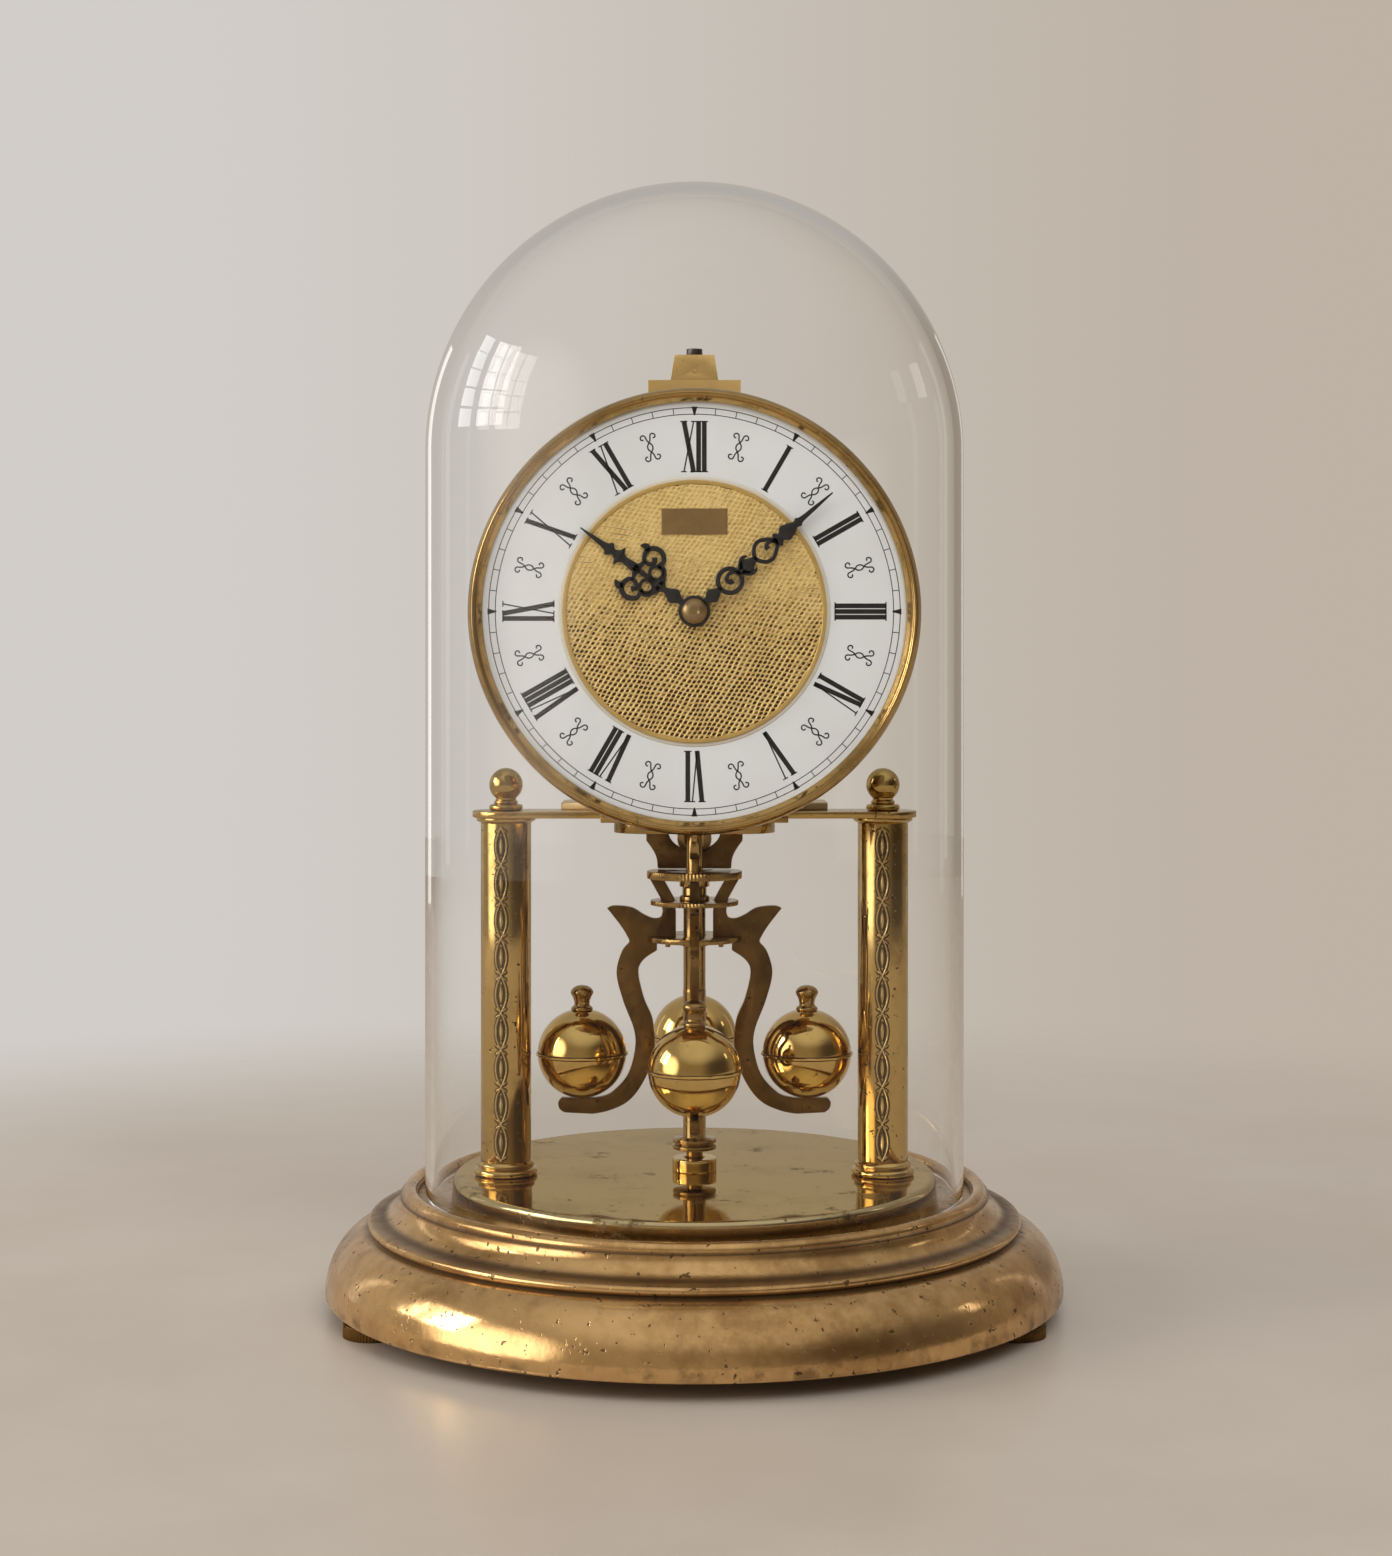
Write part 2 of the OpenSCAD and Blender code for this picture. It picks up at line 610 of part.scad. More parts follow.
// Centre arbor, which carries the minute hand, and the motion work between dial and front plate
hand_arbor_d = 2;
cannon_d = 3.4;
hour_pipe_d = 4.8;
hour_hand_y = dial_y - 1.3;
minute_hand_y = hour_hand_y - hand_t - 0.8;
nut_y = minute_hand_y - hand_t;
cannon_y = front_y - 0.4;
minute_wheel_y = front_y - 0.8;
hour_wheel_y = front_y - 3.1;
minute_stud_d = 2;

module centre_wheel() color(polished_brass) {
  rod_y(centre_at, front_in + shake, back_in - shake, arbor_d / 2);
  rod_y(centre_at, front_in, back_y, pivot_d / 2);
  rod_y(centre_at, nut_y - 1.4, front_in + shake, hand_arbor_d / 2);
  wheel(centre_teeth, centre_module, centre_at, fourth_at, centre_depth);
  pinion(centre_leaves, third_module, centre_at, third_at, third_depth, wheel_t);
}
module cannon_pinion() color(polished_brass) translate([0, 0, axis_z]) {
  facing(cannon_y, wheel_t + 0.8) difference() {
    polygon(toothed(cannon_leaves, minute_module, leaf_form,
      bearing(centre_at, minute_at) + 180 / cannon_leaves));
    circle(d = hand_arbor_d + 2 * fit);
  }
  facing(cannon_y, cannon_y - nut_y) difference() {
    circle(d = cannon_d);
    circle(d = hand_arbor_d + 2 * fit);
  }
}
module minute_wheel() color(polished_brass) translate([minute_at.x, 0, minute_at.y]) {
  facing(minute_wheel_y, wheel_t) difference() {
    polygon(toothed(minute_teeth, minute_module, wheel_form, bearing(minute_at, centre_at)));
    circle(d = minute_stud_d + 2 * fit);
  }
  facing(minute_wheel_y - wheel_t, 2.7) difference() {
    polygon(toothed(minute_leaves, hour_module, leaf_form,
      bearing(minute_at, centre_at) + 180 / minute_leaves));
    circle(d = minute_stud_d + 2 * fit);
  }
}
module hour_wheel() color(polished_brass) translate([0, 0, axis_z]) {
  pipe_bore = cannon_d + 4 * fit;
  facing(hour_wheel_y, wheel_t) difference() {
    polygon(toothed(hour_teeth, hour_module, wheel_form, bearing(centre_at, minute_at)));
    circle(d = pipe_bore);
  }
  facing(hour_wheel_y + 0.5, hour_wheel_y + 0.5 - hour_hand_y + hand_t + 0.1) difference() {
    circle(d = hour_pipe_d);
    circle(d = pipe_bore);
  }
}

// Escapement: the anchor spans the escape wheel and is rocked through its upright pin
anchor_clear = 0.8;
anchor_t = 2.4;
anchor_pin_d = 1;
anchor_pin_y = back_in - 2.5;
fork_z = plate_top + 7;

module escape_wheel() color(polished_brass) {
  arbor(escape_at);
  pinion(escape_leaves, fourth_module, escape_at, fourth_at, fourth_depth, wheel_t);
  translate([escape_at.x, 0, escape_at.y]) facing(back_in - escape_depth, wheel_t) difference() {
    polygon([for (i = [0:escape_teeth - 1])
      for (f = [[0, escape_r - 2.2], [0.62, escape_r - 1.6], [0.84, escape_r], [0.9, escape_r]])
      f.y * [cos((i + f.x) * 360 / escape_teeth), sin((i + f.x) * 360 / escape_teeth)]]);
    for (i = [0:4]) rotate(i * 72) polygon(sector(2.2, escape_r - 3.2, 18, 54));
  }
}
module anchor() color(steel) {
  arbor(anchor_at);
  facing(back_in - escape_depth + (anchor_t - wheel_t) / 2, anchor_t) {
    translate(anchor_at) circle(2.4);
    translate(escape_at) polygon(sector(escape_r + anchor_clear, escape_r + anchor_clear + 2.4, 40, 140));
  }
  rod_y(anchor_at, anchor_pin_y - 1.2, anchor_pin_y + 1.2, 1.6);
  translate([anchor_at.x, anchor_pin_y, anchor_at.y])
    cylinder(h = fork_z + 1.5 - anchor_at.y, d = anchor_pin_d);
}

// Movement frame
post_r = 3.5;
post_spigot_d = 3.6;
post_places = [for (side = [-1, 1]) for (h = [post_r, plate_h - 5.5])
  [side * (plate_w / 2 - 5.5), movement_z + h]];
pivot_places = [second_at, third_at, fourth_at, escape_at, anchor_at];
tongue_top = plate_top + 23;
tongue_plate_w = 25.7;
plate_toe_w = 2;
plate_toe_h = 6;
plate_corner = 8;
fork_window_w = 8;
fork_window_h = 7;

module plate_outline() {
  half = [[plate_w / 2 - plate_toe_w, movement_z], [plate_w / 2, movement_z + plate_toe_h],
    [plate_w / 2, plate_top - plate_corner], [plate_w / 2 - plate_corner, plate_top]];
  polygon(concat(half, mirrored(half)));
}
module frame_holes() {
  for (p = pivot_places) translate(p) circle(d = pivot_d + 2 * fit);
  translate(barrel_at) circle(d = barrel_pivot_d + 2 * fit);
  for (p = post_places) translate(p) circle(d = post_spigot_d + 2 * fit);
}
module front_plate() color(polished_brass) {
  facing(front_in, plate_t) difference() {
    plate_outline();
    frame_holes();
    translate(centre_at) circle(d = hand_arbor_d + 2 * fit);
  }
  rod_y(minute_at, hour_wheel_y - wheel_t - 0.8, front_y, minute_stud_d / 2);
}
module back_plate() color(polished_brass) {
  facing(back_y, plate_t) difference() {
    union() {
      plate_outline();
      translate([-tongue_plate_w / 2, plate_top - 1]) square([tongue_plate_w, tongue_top - plate_top + 1]);
    }
    frame_holes();
    translate(centre_at) circle(d = pivot_d + 2 * fit);
    translate([0, fork_z]) square([fork_window_w, fork_window_h], center = true);
  }
  rod_y(click_at, back_y, ratchet_y + ratchet_t + 0.6, click_stud_d / 2);
}
module plate_posts() color(polished_brass) for (p = post_places) {
  rod_y(p, front_in, back_in, post_r);
  rod_y(p, front_y - 0.6, back_y + 0.6, post_spigot_d / 2);
}

// Suspension: bracket on the back plate, clamping blocks, ribbon spring and fork
bracket_top = tongue_top + 7;
bracket_low_w = 13.2;
bracket_high_w = 11;
bracket_rear = 4;
block_w = 4.4;
block_t = 3;
block_low = tongue_top - 2.5;
block_high = tongue_top + 4.8;
block_pin_z = tongue_top + 2.5;
block_pin_d = 1.4;
beat_head_d = 4.5;
beat_shank_d = 2.4;

module suspension_bracket() color(polished_brass) difference() {
  union() {
    facing(bracket_rear, bracket_rear - back_in) polygon([[-bracket_low_w / 2, tongue_top],
      [bracket_low_w / 2, tongue_top], [bracket_high_w / 2, bracket_top], [-bracket_high_w / 2, bracket_top]]);
    translate([-bracket_low_w / 2, back_y, tongue_top - 10.5]) cube([bracket_low_w, 1.6, 11]);
  }
  translate([-block_w / 2 - 0.2, -block_t / 2 - gap, tongue_top - 1])
    cube([block_w + 0.4, block_t + 2 * gap, block_high - tongue_top + 1.5]);
  rod_y([0, block_pin_z], back_in - 1, bracket_rear + 1, block_pin_d / 2 + fit);
  translate([0, 0, block_high]) cylinder(h = 10, d = beat_shank_d + 2 * fit);
}
module beat_screw() color(blued_steel) {
  translate([0, 0, block_high + gap]) cylinder(h = bracket_top - block_high - gap + 0.5, d = beat_shank_d);
  translate([0, 0, bracket_top]) difference() {
    cylinder(h = 2.3, d = beat_head_d);
    translate([-beat_head_d, -0.3, 1.4]) cube([2 * beat_head_d, 0.6, 2]);
  }
}
module ribbon_slot(low, high) translate([-ribbon_w / 2 - fit, -ribbon_t / 2 - fit, low])
  cube([ribbon_w + 2 * fit, ribbon_t + 2 * fit, high - low]);
module upper_block() color(polished_brass) difference() {
  union() {
    translate([-block_w / 2, -block_t / 2, block_low]) cube([block_w, block_t, block_high - block_low]);
    rod_y([0, block_pin_z], back_in, bracket_rear, block_pin_d / 2);
  }
  ribbon_slot(block_low - 1, block_pin_z - 0.8);
}

// Pendulum levels, measured down from the plate under the platform
hanger_top = under_z - 0.2;
hanger_d = 4.8;
hanger_slot_z = hanger_top - 3.6;
hanger_pin_z = hanger_top - 1.8;
hanger_pin_d = 1.2;
lower_block_t = 2.2;
regulator_z = under_z - 12.9;
regulator_t = 2;
regulator_boss_h = 2.3;
stem_top = regulator_z - regulator_boss_h - 0.2;
middle_z = under_z - 20.3;
middle_t = 1.2;
middle_d = 24.6;
lower_z = under_z - 30.4;
lower_t = 1.4;
lower_d = 26.4;
flange_z = deck_z + guide_h + 2.2;
flange_d = 12.2;

module suspension_spring() color(blued_steel)
  translate([-ribbon_w / 2, -ribbon_t / 2, hanger_pin_z + 0.8])
    cube([ribbon_w, ribbon_t, block_pin_z - 1 - hanger_pin_z - 0.8]);
fork_gap = anchor_pin_d / 2 + 0.35;
module suspension_fork() color(polished_brass) difference() {
  union() {
    translate([-1.6, -1.8, fork_z - 1.4]) cube([3.2, 3.6, 2.8]);
    for (side = [0, 1]) mirror([side, 0, 0])
      translate([fork_gap, anchor_pin_y - 1.2, fork_z - 0.6]) cube([0.7, -anchor_pin_y, 1.2]);
  }
  translate([-ribbon_w / 2 - 0.15, -ribbon_t / 2 - 0.15, fork_z - 5])
    cube([ribbon_w + 0.3, ribbon_t + 0.3, 10]);
}
module lower_block() color(polished_brass) difference() {
  union() {
    translate([-1.9, -lower_block_t / 2, hanger_slot_z + 0.2])
      cube([3.8, lower_block_t, under_z + 3.2 - hanger_slot_z]);
    rod_y([0, hanger_pin_z], -hanger_d / 2, hanger_d / 2, hanger_pin_d / 2);
  }
  ribbon_slot(hanger_pin_z + 0.7, under_z + 10);
}
module hanger() color(polished_brass) difference() {
  translate([0, 0, stem_top - 3]) cylinder(h = hanger_top - stem_top + 3, d = hanger_d);
  translate([-hanger_d, -lower_block_t / 2 - 0.1, hanger_slot_z]) cube([2 * hanger_d, lower_block_t + 0.2, 10]);
  rod_y([0, hanger_pin_z], -hanger_d, hanger_d, hanger_pin_d / 2 + fit);
  translate([-1.3, -hanger_d, regulator_z + regulator_t + 3.4]) cube([2.6, 2 * hanger_d, 1.2]);
}
module regulating_disc() color(aged_brass) difference() {
  union() {
    translate([0, 0, regulator_z]) knurled(regulator_d, regulator_t, 84);
    translate([0, 0, regulator_z - regulator_boss_h]) cylinder(h = regulator_boss_h + 0.5, d = 8.4);
  }
  translate([0, 0, regulator_z - 5]) cylinder(h = 10, d = hanger_d + 2 * fit);
}

// Discs with a slot for each arm, threaded on the stem
strut_in = stem_d / 2 + 2.1;
strut_w = 3.7;
module arm_slots(from, to) for (a = [0, 90, 180, 270]) rotate(a)
  translate([from, -arm_t / 2 - fit]) square([to - from, arm_t + 2 * fit]);
module middle_disc() color(aged_brass) translate([0, 0, middle_z]) linear_extrude(middle_t) difference() {
  knurled_outline(middle_d, 78);
  circle(d = stem_d + 2 * fit);
  arm_slots(strut_in - fit, strut_in + strut_w + 0.8);
}
module lower_disc() color(aged_brass) {
  translate([0, 0, lower_z]) linear_extrude(lower_t) difference() {
    circle(d = lower_d);
    circle(d = stem_d + 2 * fit);
    arm_slots(strut_in - fit, lower_d);
  }
  for (a = [45:90:315]) translate([10.4 * cos(a), 10.4 * sin(a), lower_z - 1]) cylinder(h = 1.2, r = 0.7);
}
stem_r = stem_d / 2;
module pendulum_stem() color(polished_brass) difference() {
  rotate_extrude() polygon([[0, deck_z + guide_floor + 0.6], [guide_pin_d / 2, deck_z + guide_floor + 0.6],
    [guide_pin_d / 2, flange_z], [flange_d / 2, flange_z + 0.3], [flange_d / 2, flange_z + 1.4],
    [flange_d / 2 - 0.8, flange_z + 1.6], [flange_d / 2 - 0.8, flange_z + 1.9],
    [flange_d / 2, flange_z + 2.1], [flange_d / 2, flange_z + 3.2], [stem_r + 0.1, flange_z + 3.5],
    [stem_r + 0.1, lower_z - 14], [stem_r, lower_z - 13.5], [stem_r, lower_z - 1.4],
    [stem_r + 0.8, lower_z - 1.4], [stem_r + 0.8, lower_z], [stem_r, lower_z], [stem_r, middle_z + middle_t],
    [stem_r + 1.1, middle_z + middle_t], [stem_r + 1.1, middle_z + middle_t + 1.2],
    [stem_r + 0.3, middle_z + middle_t + 1.5], [stem_r + 0.3, stem_top], [0, stem_top]]);
  translate([0, 0, stem_top - 3]) cylinder(h = 10, d = hanger_d + 2 * fit);
}

// Lyre arms: flat plates whose feet carry the balls
seat_z = under_z - ball_drop;
ball_z = seat_z + ball_r;
strut_top = regulator_z - gap;
stud_d = 1.6;
foot_tip = ball_ring_r + 6.6;
// The waist of an arm keeps clear of its ball, and the shoulder and its tip stand out from the waist
waist_out = ball_ring_r - ball_r - 2.2;
waist_in = waist_out - 5.4;
strut_out = strut_in + strut_w + 0.6;
tip_out = waist_out + 7.5;
function towards_tip(share) = strut_out + share * (tip_out - strut_out);
arm_outer = concat(
  [[strut_in + 7.2, strut_top], [strut_in + strut_w + 0.5, strut_top - 5.4]],
  spline([[strut_in + strut_w, lower_z + 8.3], [strut_out, lower_z + 6.6],
    [towards_tip(0.14), lower_z + 6.3], [towards_tip(0.32), lower_z + 7.4], [towards_tip(0.54), lower_z + 9.3],
    [towards_tip(0.87), lower_z + 9.8], [tip_out, lower_z + 9.1]]),
  spline([[tip_out - 1, lower_z + 7.9], [tip_out - 4, lower_z + 4], [tip_out - 5.8, lower_z + 1],
    [tip_out - 6.2, lower_z]]),
  spline([[tip_out - 6, lower_z - 0.6], [waist_out + 3.5, lower_z - 3.2], [waist_out + 4.9, lower_z - 9],
    [waist_out + 3, lower_z - 16.8], [waist_out + 0.1, lower_z - 24.4], [waist_out - 0.3, lower_z - 30],
    [waist_out + 1.8, seat_z + 6.4], [waist_out + 6.5, seat_z + 1.3], [ball_ring_r - 4, seat_z]]),
  spline([[foot_tip - 0.9, seat_z], [foot_tip, seat_z - 1.2], [foot_tip - 0.4, seat_z - 3],
    [foot_tip - 1.8, seat_z - 4]], 4));
arm_inner = concat(
  spline([[ball_ring_r - 3, seat_z - 4.4], [waist_out + 7.1, seat_z - 3.5], [waist_out + 1.8, seat_z - 1],
    [waist_in + 3.1, seat_z + 4], [waist_in - 0.1, seat_z + 12], [waist_in + 0.1, lower_z - 22.6],
    [waist_in + 2.6, lower_z - 16.2], [waist_in + 4.2, lower_z - 9], [waist_in + 2.9, lower_z - 5.4],
    [strut_out + 1, lower_z - 2.6]]),
  [[strut_out + 1, lower_z - 0.2], [strut_in, lower_z - 0.2], [strut_in, middle_z - 2],
    [strut_in + 0.4, strut_top - 5.4], [strut_in + 3.4, strut_top]]);
module arm(a) color(dark_brass) rotate(a) difference() {
  facing(arm_t / 2, arm_t) polygon(concat(arm_outer, arm_inner));
  translate([ball_ring_r, 0, seat_z - 3]) cylinder(h = 5, d = stud_d + 2 * fit);
}
module arm_right() arm(0);
module arm_back() arm(90);
module arm_left() arm(180);
module arm_front() arm(270);

module ball_places() for (a = [0, 90, 180, 270]) rotate(a) translate([ball_ring_r, 0, ball_z]) children();
nut_r = 3.1;
nut_base = sqrt(ball_r * ball_r - (nut_r + gap) * (nut_r + gap));
module balls() color(polished_brass) ball_places() difference() {
  union() {
    sphere(r = ball_r);
    translate([0, 0, -seam_h / 2]) cylinder(h = seam_h, r = ball_r + seam_rise);
  }
  translate([0, 0, -ball_r - 1]) cylinder(h = ball_d + 2, d = stud_d + 2 * fit);
  translate([0, 0, nut_base]) cylinder(h = ball_r, r = nut_r + gap);
}
module ball_nuts() color(aged_brass) ball_places() {
  translate([0, 0, nut_base]) rotate_extrude() polygon([[0, 0], [nut_r - 0.2, 0], [nut_r, 0.5],
    [nut_r - 0.2, 1], [2.15, 1.5], [2.15, 2.4], [2.5, 3.6], [nut_r + 0.1, 4.9], [nut_r + 0.1, 5.4], [2.7, 6.2],
    [1.6, 6.9], [0, 7.2]]);
  translate([0, 0, -ball_r - 2.9]) cylinder(h = ball_r + 3 + nut_base, d = stud_d);
}

// Dial, bezel and hands
dial_r = bezel_d / 2 - 1.2;
dial_hole_d = hour_pipe_d + 0.8;
dial_foot_d = 2.4;
dial_feet = [for (side = [-1, 1]) for (h = [-30, 30]) [side * (plate_w / 2 - 7), axis_z + h]];
module dial() color([0.93, 0.93, 0.91]) {
  translate([0, 0, axis_z]) facing(dial_back, dial_t) difference() {
    circle(dial_r - fit);
    circle(d = dial_hole_d);
  }
  for (p = dial_feet) rod_y(p, dial_back - dial_t / 2, front_y, dial_foot_d / 2);
}
centre_t = 0.5;
module dial_centre() color([0.83, 0.66, 0.30]) translate([0, 0, axis_z]) facing(dial_y, centre_t) difference() {
  circle(d = dial_centre_d);
  circle(d = dial_hole_d);
}
module bezel() color(aged_brass) translate([0, dial_y, axis_z]) rotate([90, 0, 0]) rotate_extrude()
  polygon([[dial_r, -dial_t - 0.8], [bezel_d / 2, -dial_t - 0.8], [bezel_d / 2, 0.6],
    [bezel_d / 2 - bezel_slope, bezel_lip], [bezel_d / 2 - bezel_slope - 1, bezel_lip], [bezel_d / 2 - 3.7, 0.9],
    [bezel_d / 2 - 3.7, 0], [dial_r, 0]]);

// A hand's outline along +Y: pierced rings on a tapering bar, with a hub at the axis
module ring(at, r, w) translate(at) difference() {
  circle(r);
  circle(r - w);
}
module minute_outline() {
  l = minute_hand_l;
  polygon([[-1.1, 2], [1.1, 2], [1.5, 7.5], [0, 9.4], [-1.5, 7.5]]);
  ring([0, 12], 3.6, 1);
  polygon([[-1.6, 15], [1.6, 15], [2.2, 17], [1.1, 20.2], [-1.1, 20.2], [-2.2, 17]]);
  ring([0, 23], 3.5, 0.9);
  polygon([[-1.4, 26], [1.4, 26], [1.9, 29], [0.9, 32], [0.2, l], [-0.2, l], [-0.9, 32], [-1.9, 29]]);
}
module hour_outline() {
  l = hour_hand_l;
  polygon([[-1.1, 3], [1.1, 3], [1.9, 6], [1, 9.5], [-1, 9.5], [-1.9, 6]]);
  for (side = [-1, 1]) {
    ring([side * 2.6, 11.5], 2.7, 0.9);
    ring([side * 5.6, 15.5], 2.9, 0.9);
    ring([side * 2, 16.5], 2.4, 0.8);
  }
  polygon([[-1.2, 18], [1.2, 18], [0.8, 22], [2.2, 24], [0.9, 26.5], [1.3, 28.5], [0.2, l], [-0.2, l],
    [-1.3, 28.5], [-0.9, 26.5], [-2.2, 24], [-0.8, 22]]);
}
module hand(y, angle, hub_r, hole_d) translate([0, 0, axis_z]) facing(y, hand_t) difference() {
  union() {
    rotate(-angle) children();
    circle(hub_r);
  }
  circle(d = hole_d);
}
module minute_hand() color(black) hand(minute_hand_y, minute_angle, 3.5, cannon_d + 2 * fit) minute_outline();
module hour_hand() color(black) hand(hour_hand_y, hour_angle, 4.2, hour_pipe_d + 2 * fit) hour_outline();
module hand_nut() color(aged_brass) translate([0, nut_y, axis_z]) rotate([90, 0, 0]) difference() {
  rotate_extrude() polygon(concat([[0, 0]], [[3.3, 0], [3.3, 0.5]], arc([0, 0.5], 3.2, 1.7, 0, 90, 8)));
  translate([0, 0, -1]) cylinder(h = 2.5, d = hand_arbor_d + 2 * fit);
}

base_shell();
levelling_foot_left();
levelling_foot_right();
levelling_foot_rear();
deck_plate();
guide_cup();
glass_dome();
pillar_left();
pillar_right();
pillar_rings();
tie_rods();
finial_left();
finial_right();
platform();
movement_seat();
under_plate();
guard_bracket();
lock_screw();
front_plate();
back_plate();
plate_posts();
suspension_bracket();
beat_screw();
upper_block();
suspension_spring();
suspension_fork();
lower_block();
barrel();
barrel_cap();
mainspring();
winding_arbor();
ratchet_wheel();
click();
click_spring();
second_wheel();
third_wheel();
centre_wheel();
cannon_pinion();
minute_wheel();
hour_wheel();
fourth_wheel();
escape_wheel();
anchor();
dial();
dial_centre();
bezel();
minute_hand();
hour_hand();
hand_nut();
hanger();
regulating_disc();
middle_disc();
lower_disc();
pendulum_stem();
arm_left();
arm_right();
arm_front();
arm_back();
balls();
ball_nuts();
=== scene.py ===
# %% [markdown]
# A torsion pendulum clock under a glass dome.
# The construction model is already exact: every wheel, plate and joint is where it belongs. This lesson
# gives it the looks of the real clock. Turned pieces are turned again with more steps, pressed ornament and
# printed figures are added, and every metal gets its own finish. Sizes of the clock are millimetres, times
# MM where Blender takes them. The floor, the lamps and the camera are placed in metres.

# %% Load the frame
import json
import math

import bmesh
import bpy
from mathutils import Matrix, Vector


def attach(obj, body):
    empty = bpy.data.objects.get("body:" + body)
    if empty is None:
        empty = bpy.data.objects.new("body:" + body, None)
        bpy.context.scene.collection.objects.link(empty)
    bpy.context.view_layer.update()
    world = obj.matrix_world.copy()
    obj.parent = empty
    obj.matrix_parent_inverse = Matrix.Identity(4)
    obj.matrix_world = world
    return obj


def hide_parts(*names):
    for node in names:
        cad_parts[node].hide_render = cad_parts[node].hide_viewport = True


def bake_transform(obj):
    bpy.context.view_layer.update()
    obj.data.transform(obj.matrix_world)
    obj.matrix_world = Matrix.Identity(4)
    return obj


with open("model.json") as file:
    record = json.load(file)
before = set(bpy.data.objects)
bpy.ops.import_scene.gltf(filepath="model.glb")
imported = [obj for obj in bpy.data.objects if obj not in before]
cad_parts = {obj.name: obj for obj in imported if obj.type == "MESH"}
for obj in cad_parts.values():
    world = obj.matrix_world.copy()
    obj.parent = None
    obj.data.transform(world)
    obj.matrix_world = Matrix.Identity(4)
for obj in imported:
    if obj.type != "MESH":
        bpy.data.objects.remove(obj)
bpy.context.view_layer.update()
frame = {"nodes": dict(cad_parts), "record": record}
MM = 0.001
bodies = frame["record"]["behaviour"]["bodies"]
body_of_node = {node: body for body, nodes in bodies.items() for node in nodes}
slot_of_node = {part["node"]: part["material_slot"] for part in frame["record"]["subparts"]}
print("nodes in the frame:", len(frame["nodes"]), "bodies:", len(bodies))

# %% [markdown]
# Shader formulas. A finish is a handful of sums: patches of tarnish, specks, fine scratches. Clicking Math
# nodes together hides such a sum, so a small class wraps a node's output and lets Python's operators add
# the nodes. Every other node comes from its one method, which sets the node up and plugs in values or other
# wires.


# %% A wire that can be added and multiplied
class Wire:
    """An output of a shader node that takes part in formulas."""

    def __init__(self, tree, socket):
        self.tree = tree
        self.socket = socket

    def node(self, kind, settings=None, sockets=None, output=0):
        """Adds a node, sets it up, then fills its sockets with values or other wires."""
        made = self.tree.nodes.new(kind)
        for name, value in (settings or {}).items():
            setattr(made, name, value)
        for name, value in (sockets or {}).items():
            if isinstance(value, Wire):
                self.tree.links.new(value.socket, made.inputs[name])
            else:
                made.inputs[name].default_value = value
        return Wire(self.tree, made.outputs[output])

    def maths(self, operation, *values):
        return self.node("ShaderNodeMath", {"operation": operation}, dict(enumerate(values)))

    def beside(self, output):
        """Another output of the same node."""
        return Wire(self.tree, self.socket.node.outputs[output])

    def into(self, shader, name):
        self.tree.links.new(self.socket, shader.inputs[name])

    def __add__(self, other):
        return self.maths("ADD", self, other)

    def __sub__(self, other):
        return self.maths("SUBTRACT", self, other)

    def __rsub__(self, other):
        return self.maths("SUBTRACT", other, self)

    def __mul__(self, other):
        return self.maths("MULTIPLY", self, other)

    __radd__ = __add__
    __rmul__ = __mul__


def noise(place, scale, detail=3.0, roughness=0.55):
    sockets = {"Vector": place, "Scale": scale, "Detail": detail, "Roughness": roughness}
    return place.node("ShaderNodeTexNoise", {}, sockets)


def ramped(wire, low, high):
    """Zero below the first value, one above the second, smooth between."""
    sockets = {"Value": wire, "From Min": low, "From Max": high}
    return wire.node("ShaderNodeMapRange", {"interpolation_type": "SMOOTHSTEP"}, sockets)


def stretched(place, scale):
    """The place with each direction multiplied, which draws a pattern out into streaks."""
    return place.node("ShaderNodeVectorMath", {"operation": "MULTIPLY"}, {0: place, 1: scale})


def distance(place):
    return place.node("ShaderNodeVectorMath", {"operation": "LENGTH"}, {0: place}, output=1)


def along_axis(place, axis):
    """One of the three numbers of a place."""
    return place.node("ShaderNodeSeparateXYZ", {}, {0: place}, output=axis)


def mixed(share, first, second):
    sockets = {0: share, 6: first, 7: second}
    return share.node("ShaderNodeMix", {"data_type": "RGBA"}, sockets, output=2)


def bumped(height, strength, depth):
    """Leans the surface as a relief with a depth in millimetres would."""
    sockets = {"Height": height, "Strength": strength, "Distance": depth * MM}
    return height.node("ShaderNodeBump", {}, sockets)


def new_finish(name, metallic=0.0):
    finish = bpy.data.materials.new(name)
    finish.use_nodes = True
    tree = finish.node_tree
    shader = tree.nodes["Principled BSDF"]
    shader.inputs["Metallic"].default_value = metallic
    place = Wire(tree, tree.nodes.new("ShaderNodeTexCoord").outputs["Object"])
    return finish, shader, place


def rgb(red, green, blue):
    return (red, green, blue, 1.0)


print("shader helpers are ready")

# %% [markdown]
# Brass. The clock is brass nearly everywhere, but no two places are alike: balls that were polished and
# lacquered, pillars with dark specks, arms that went brown. One function makes them all from the same sum:
# slow patches of tarnish, small dark specks and hairline marks, each with its own weight.


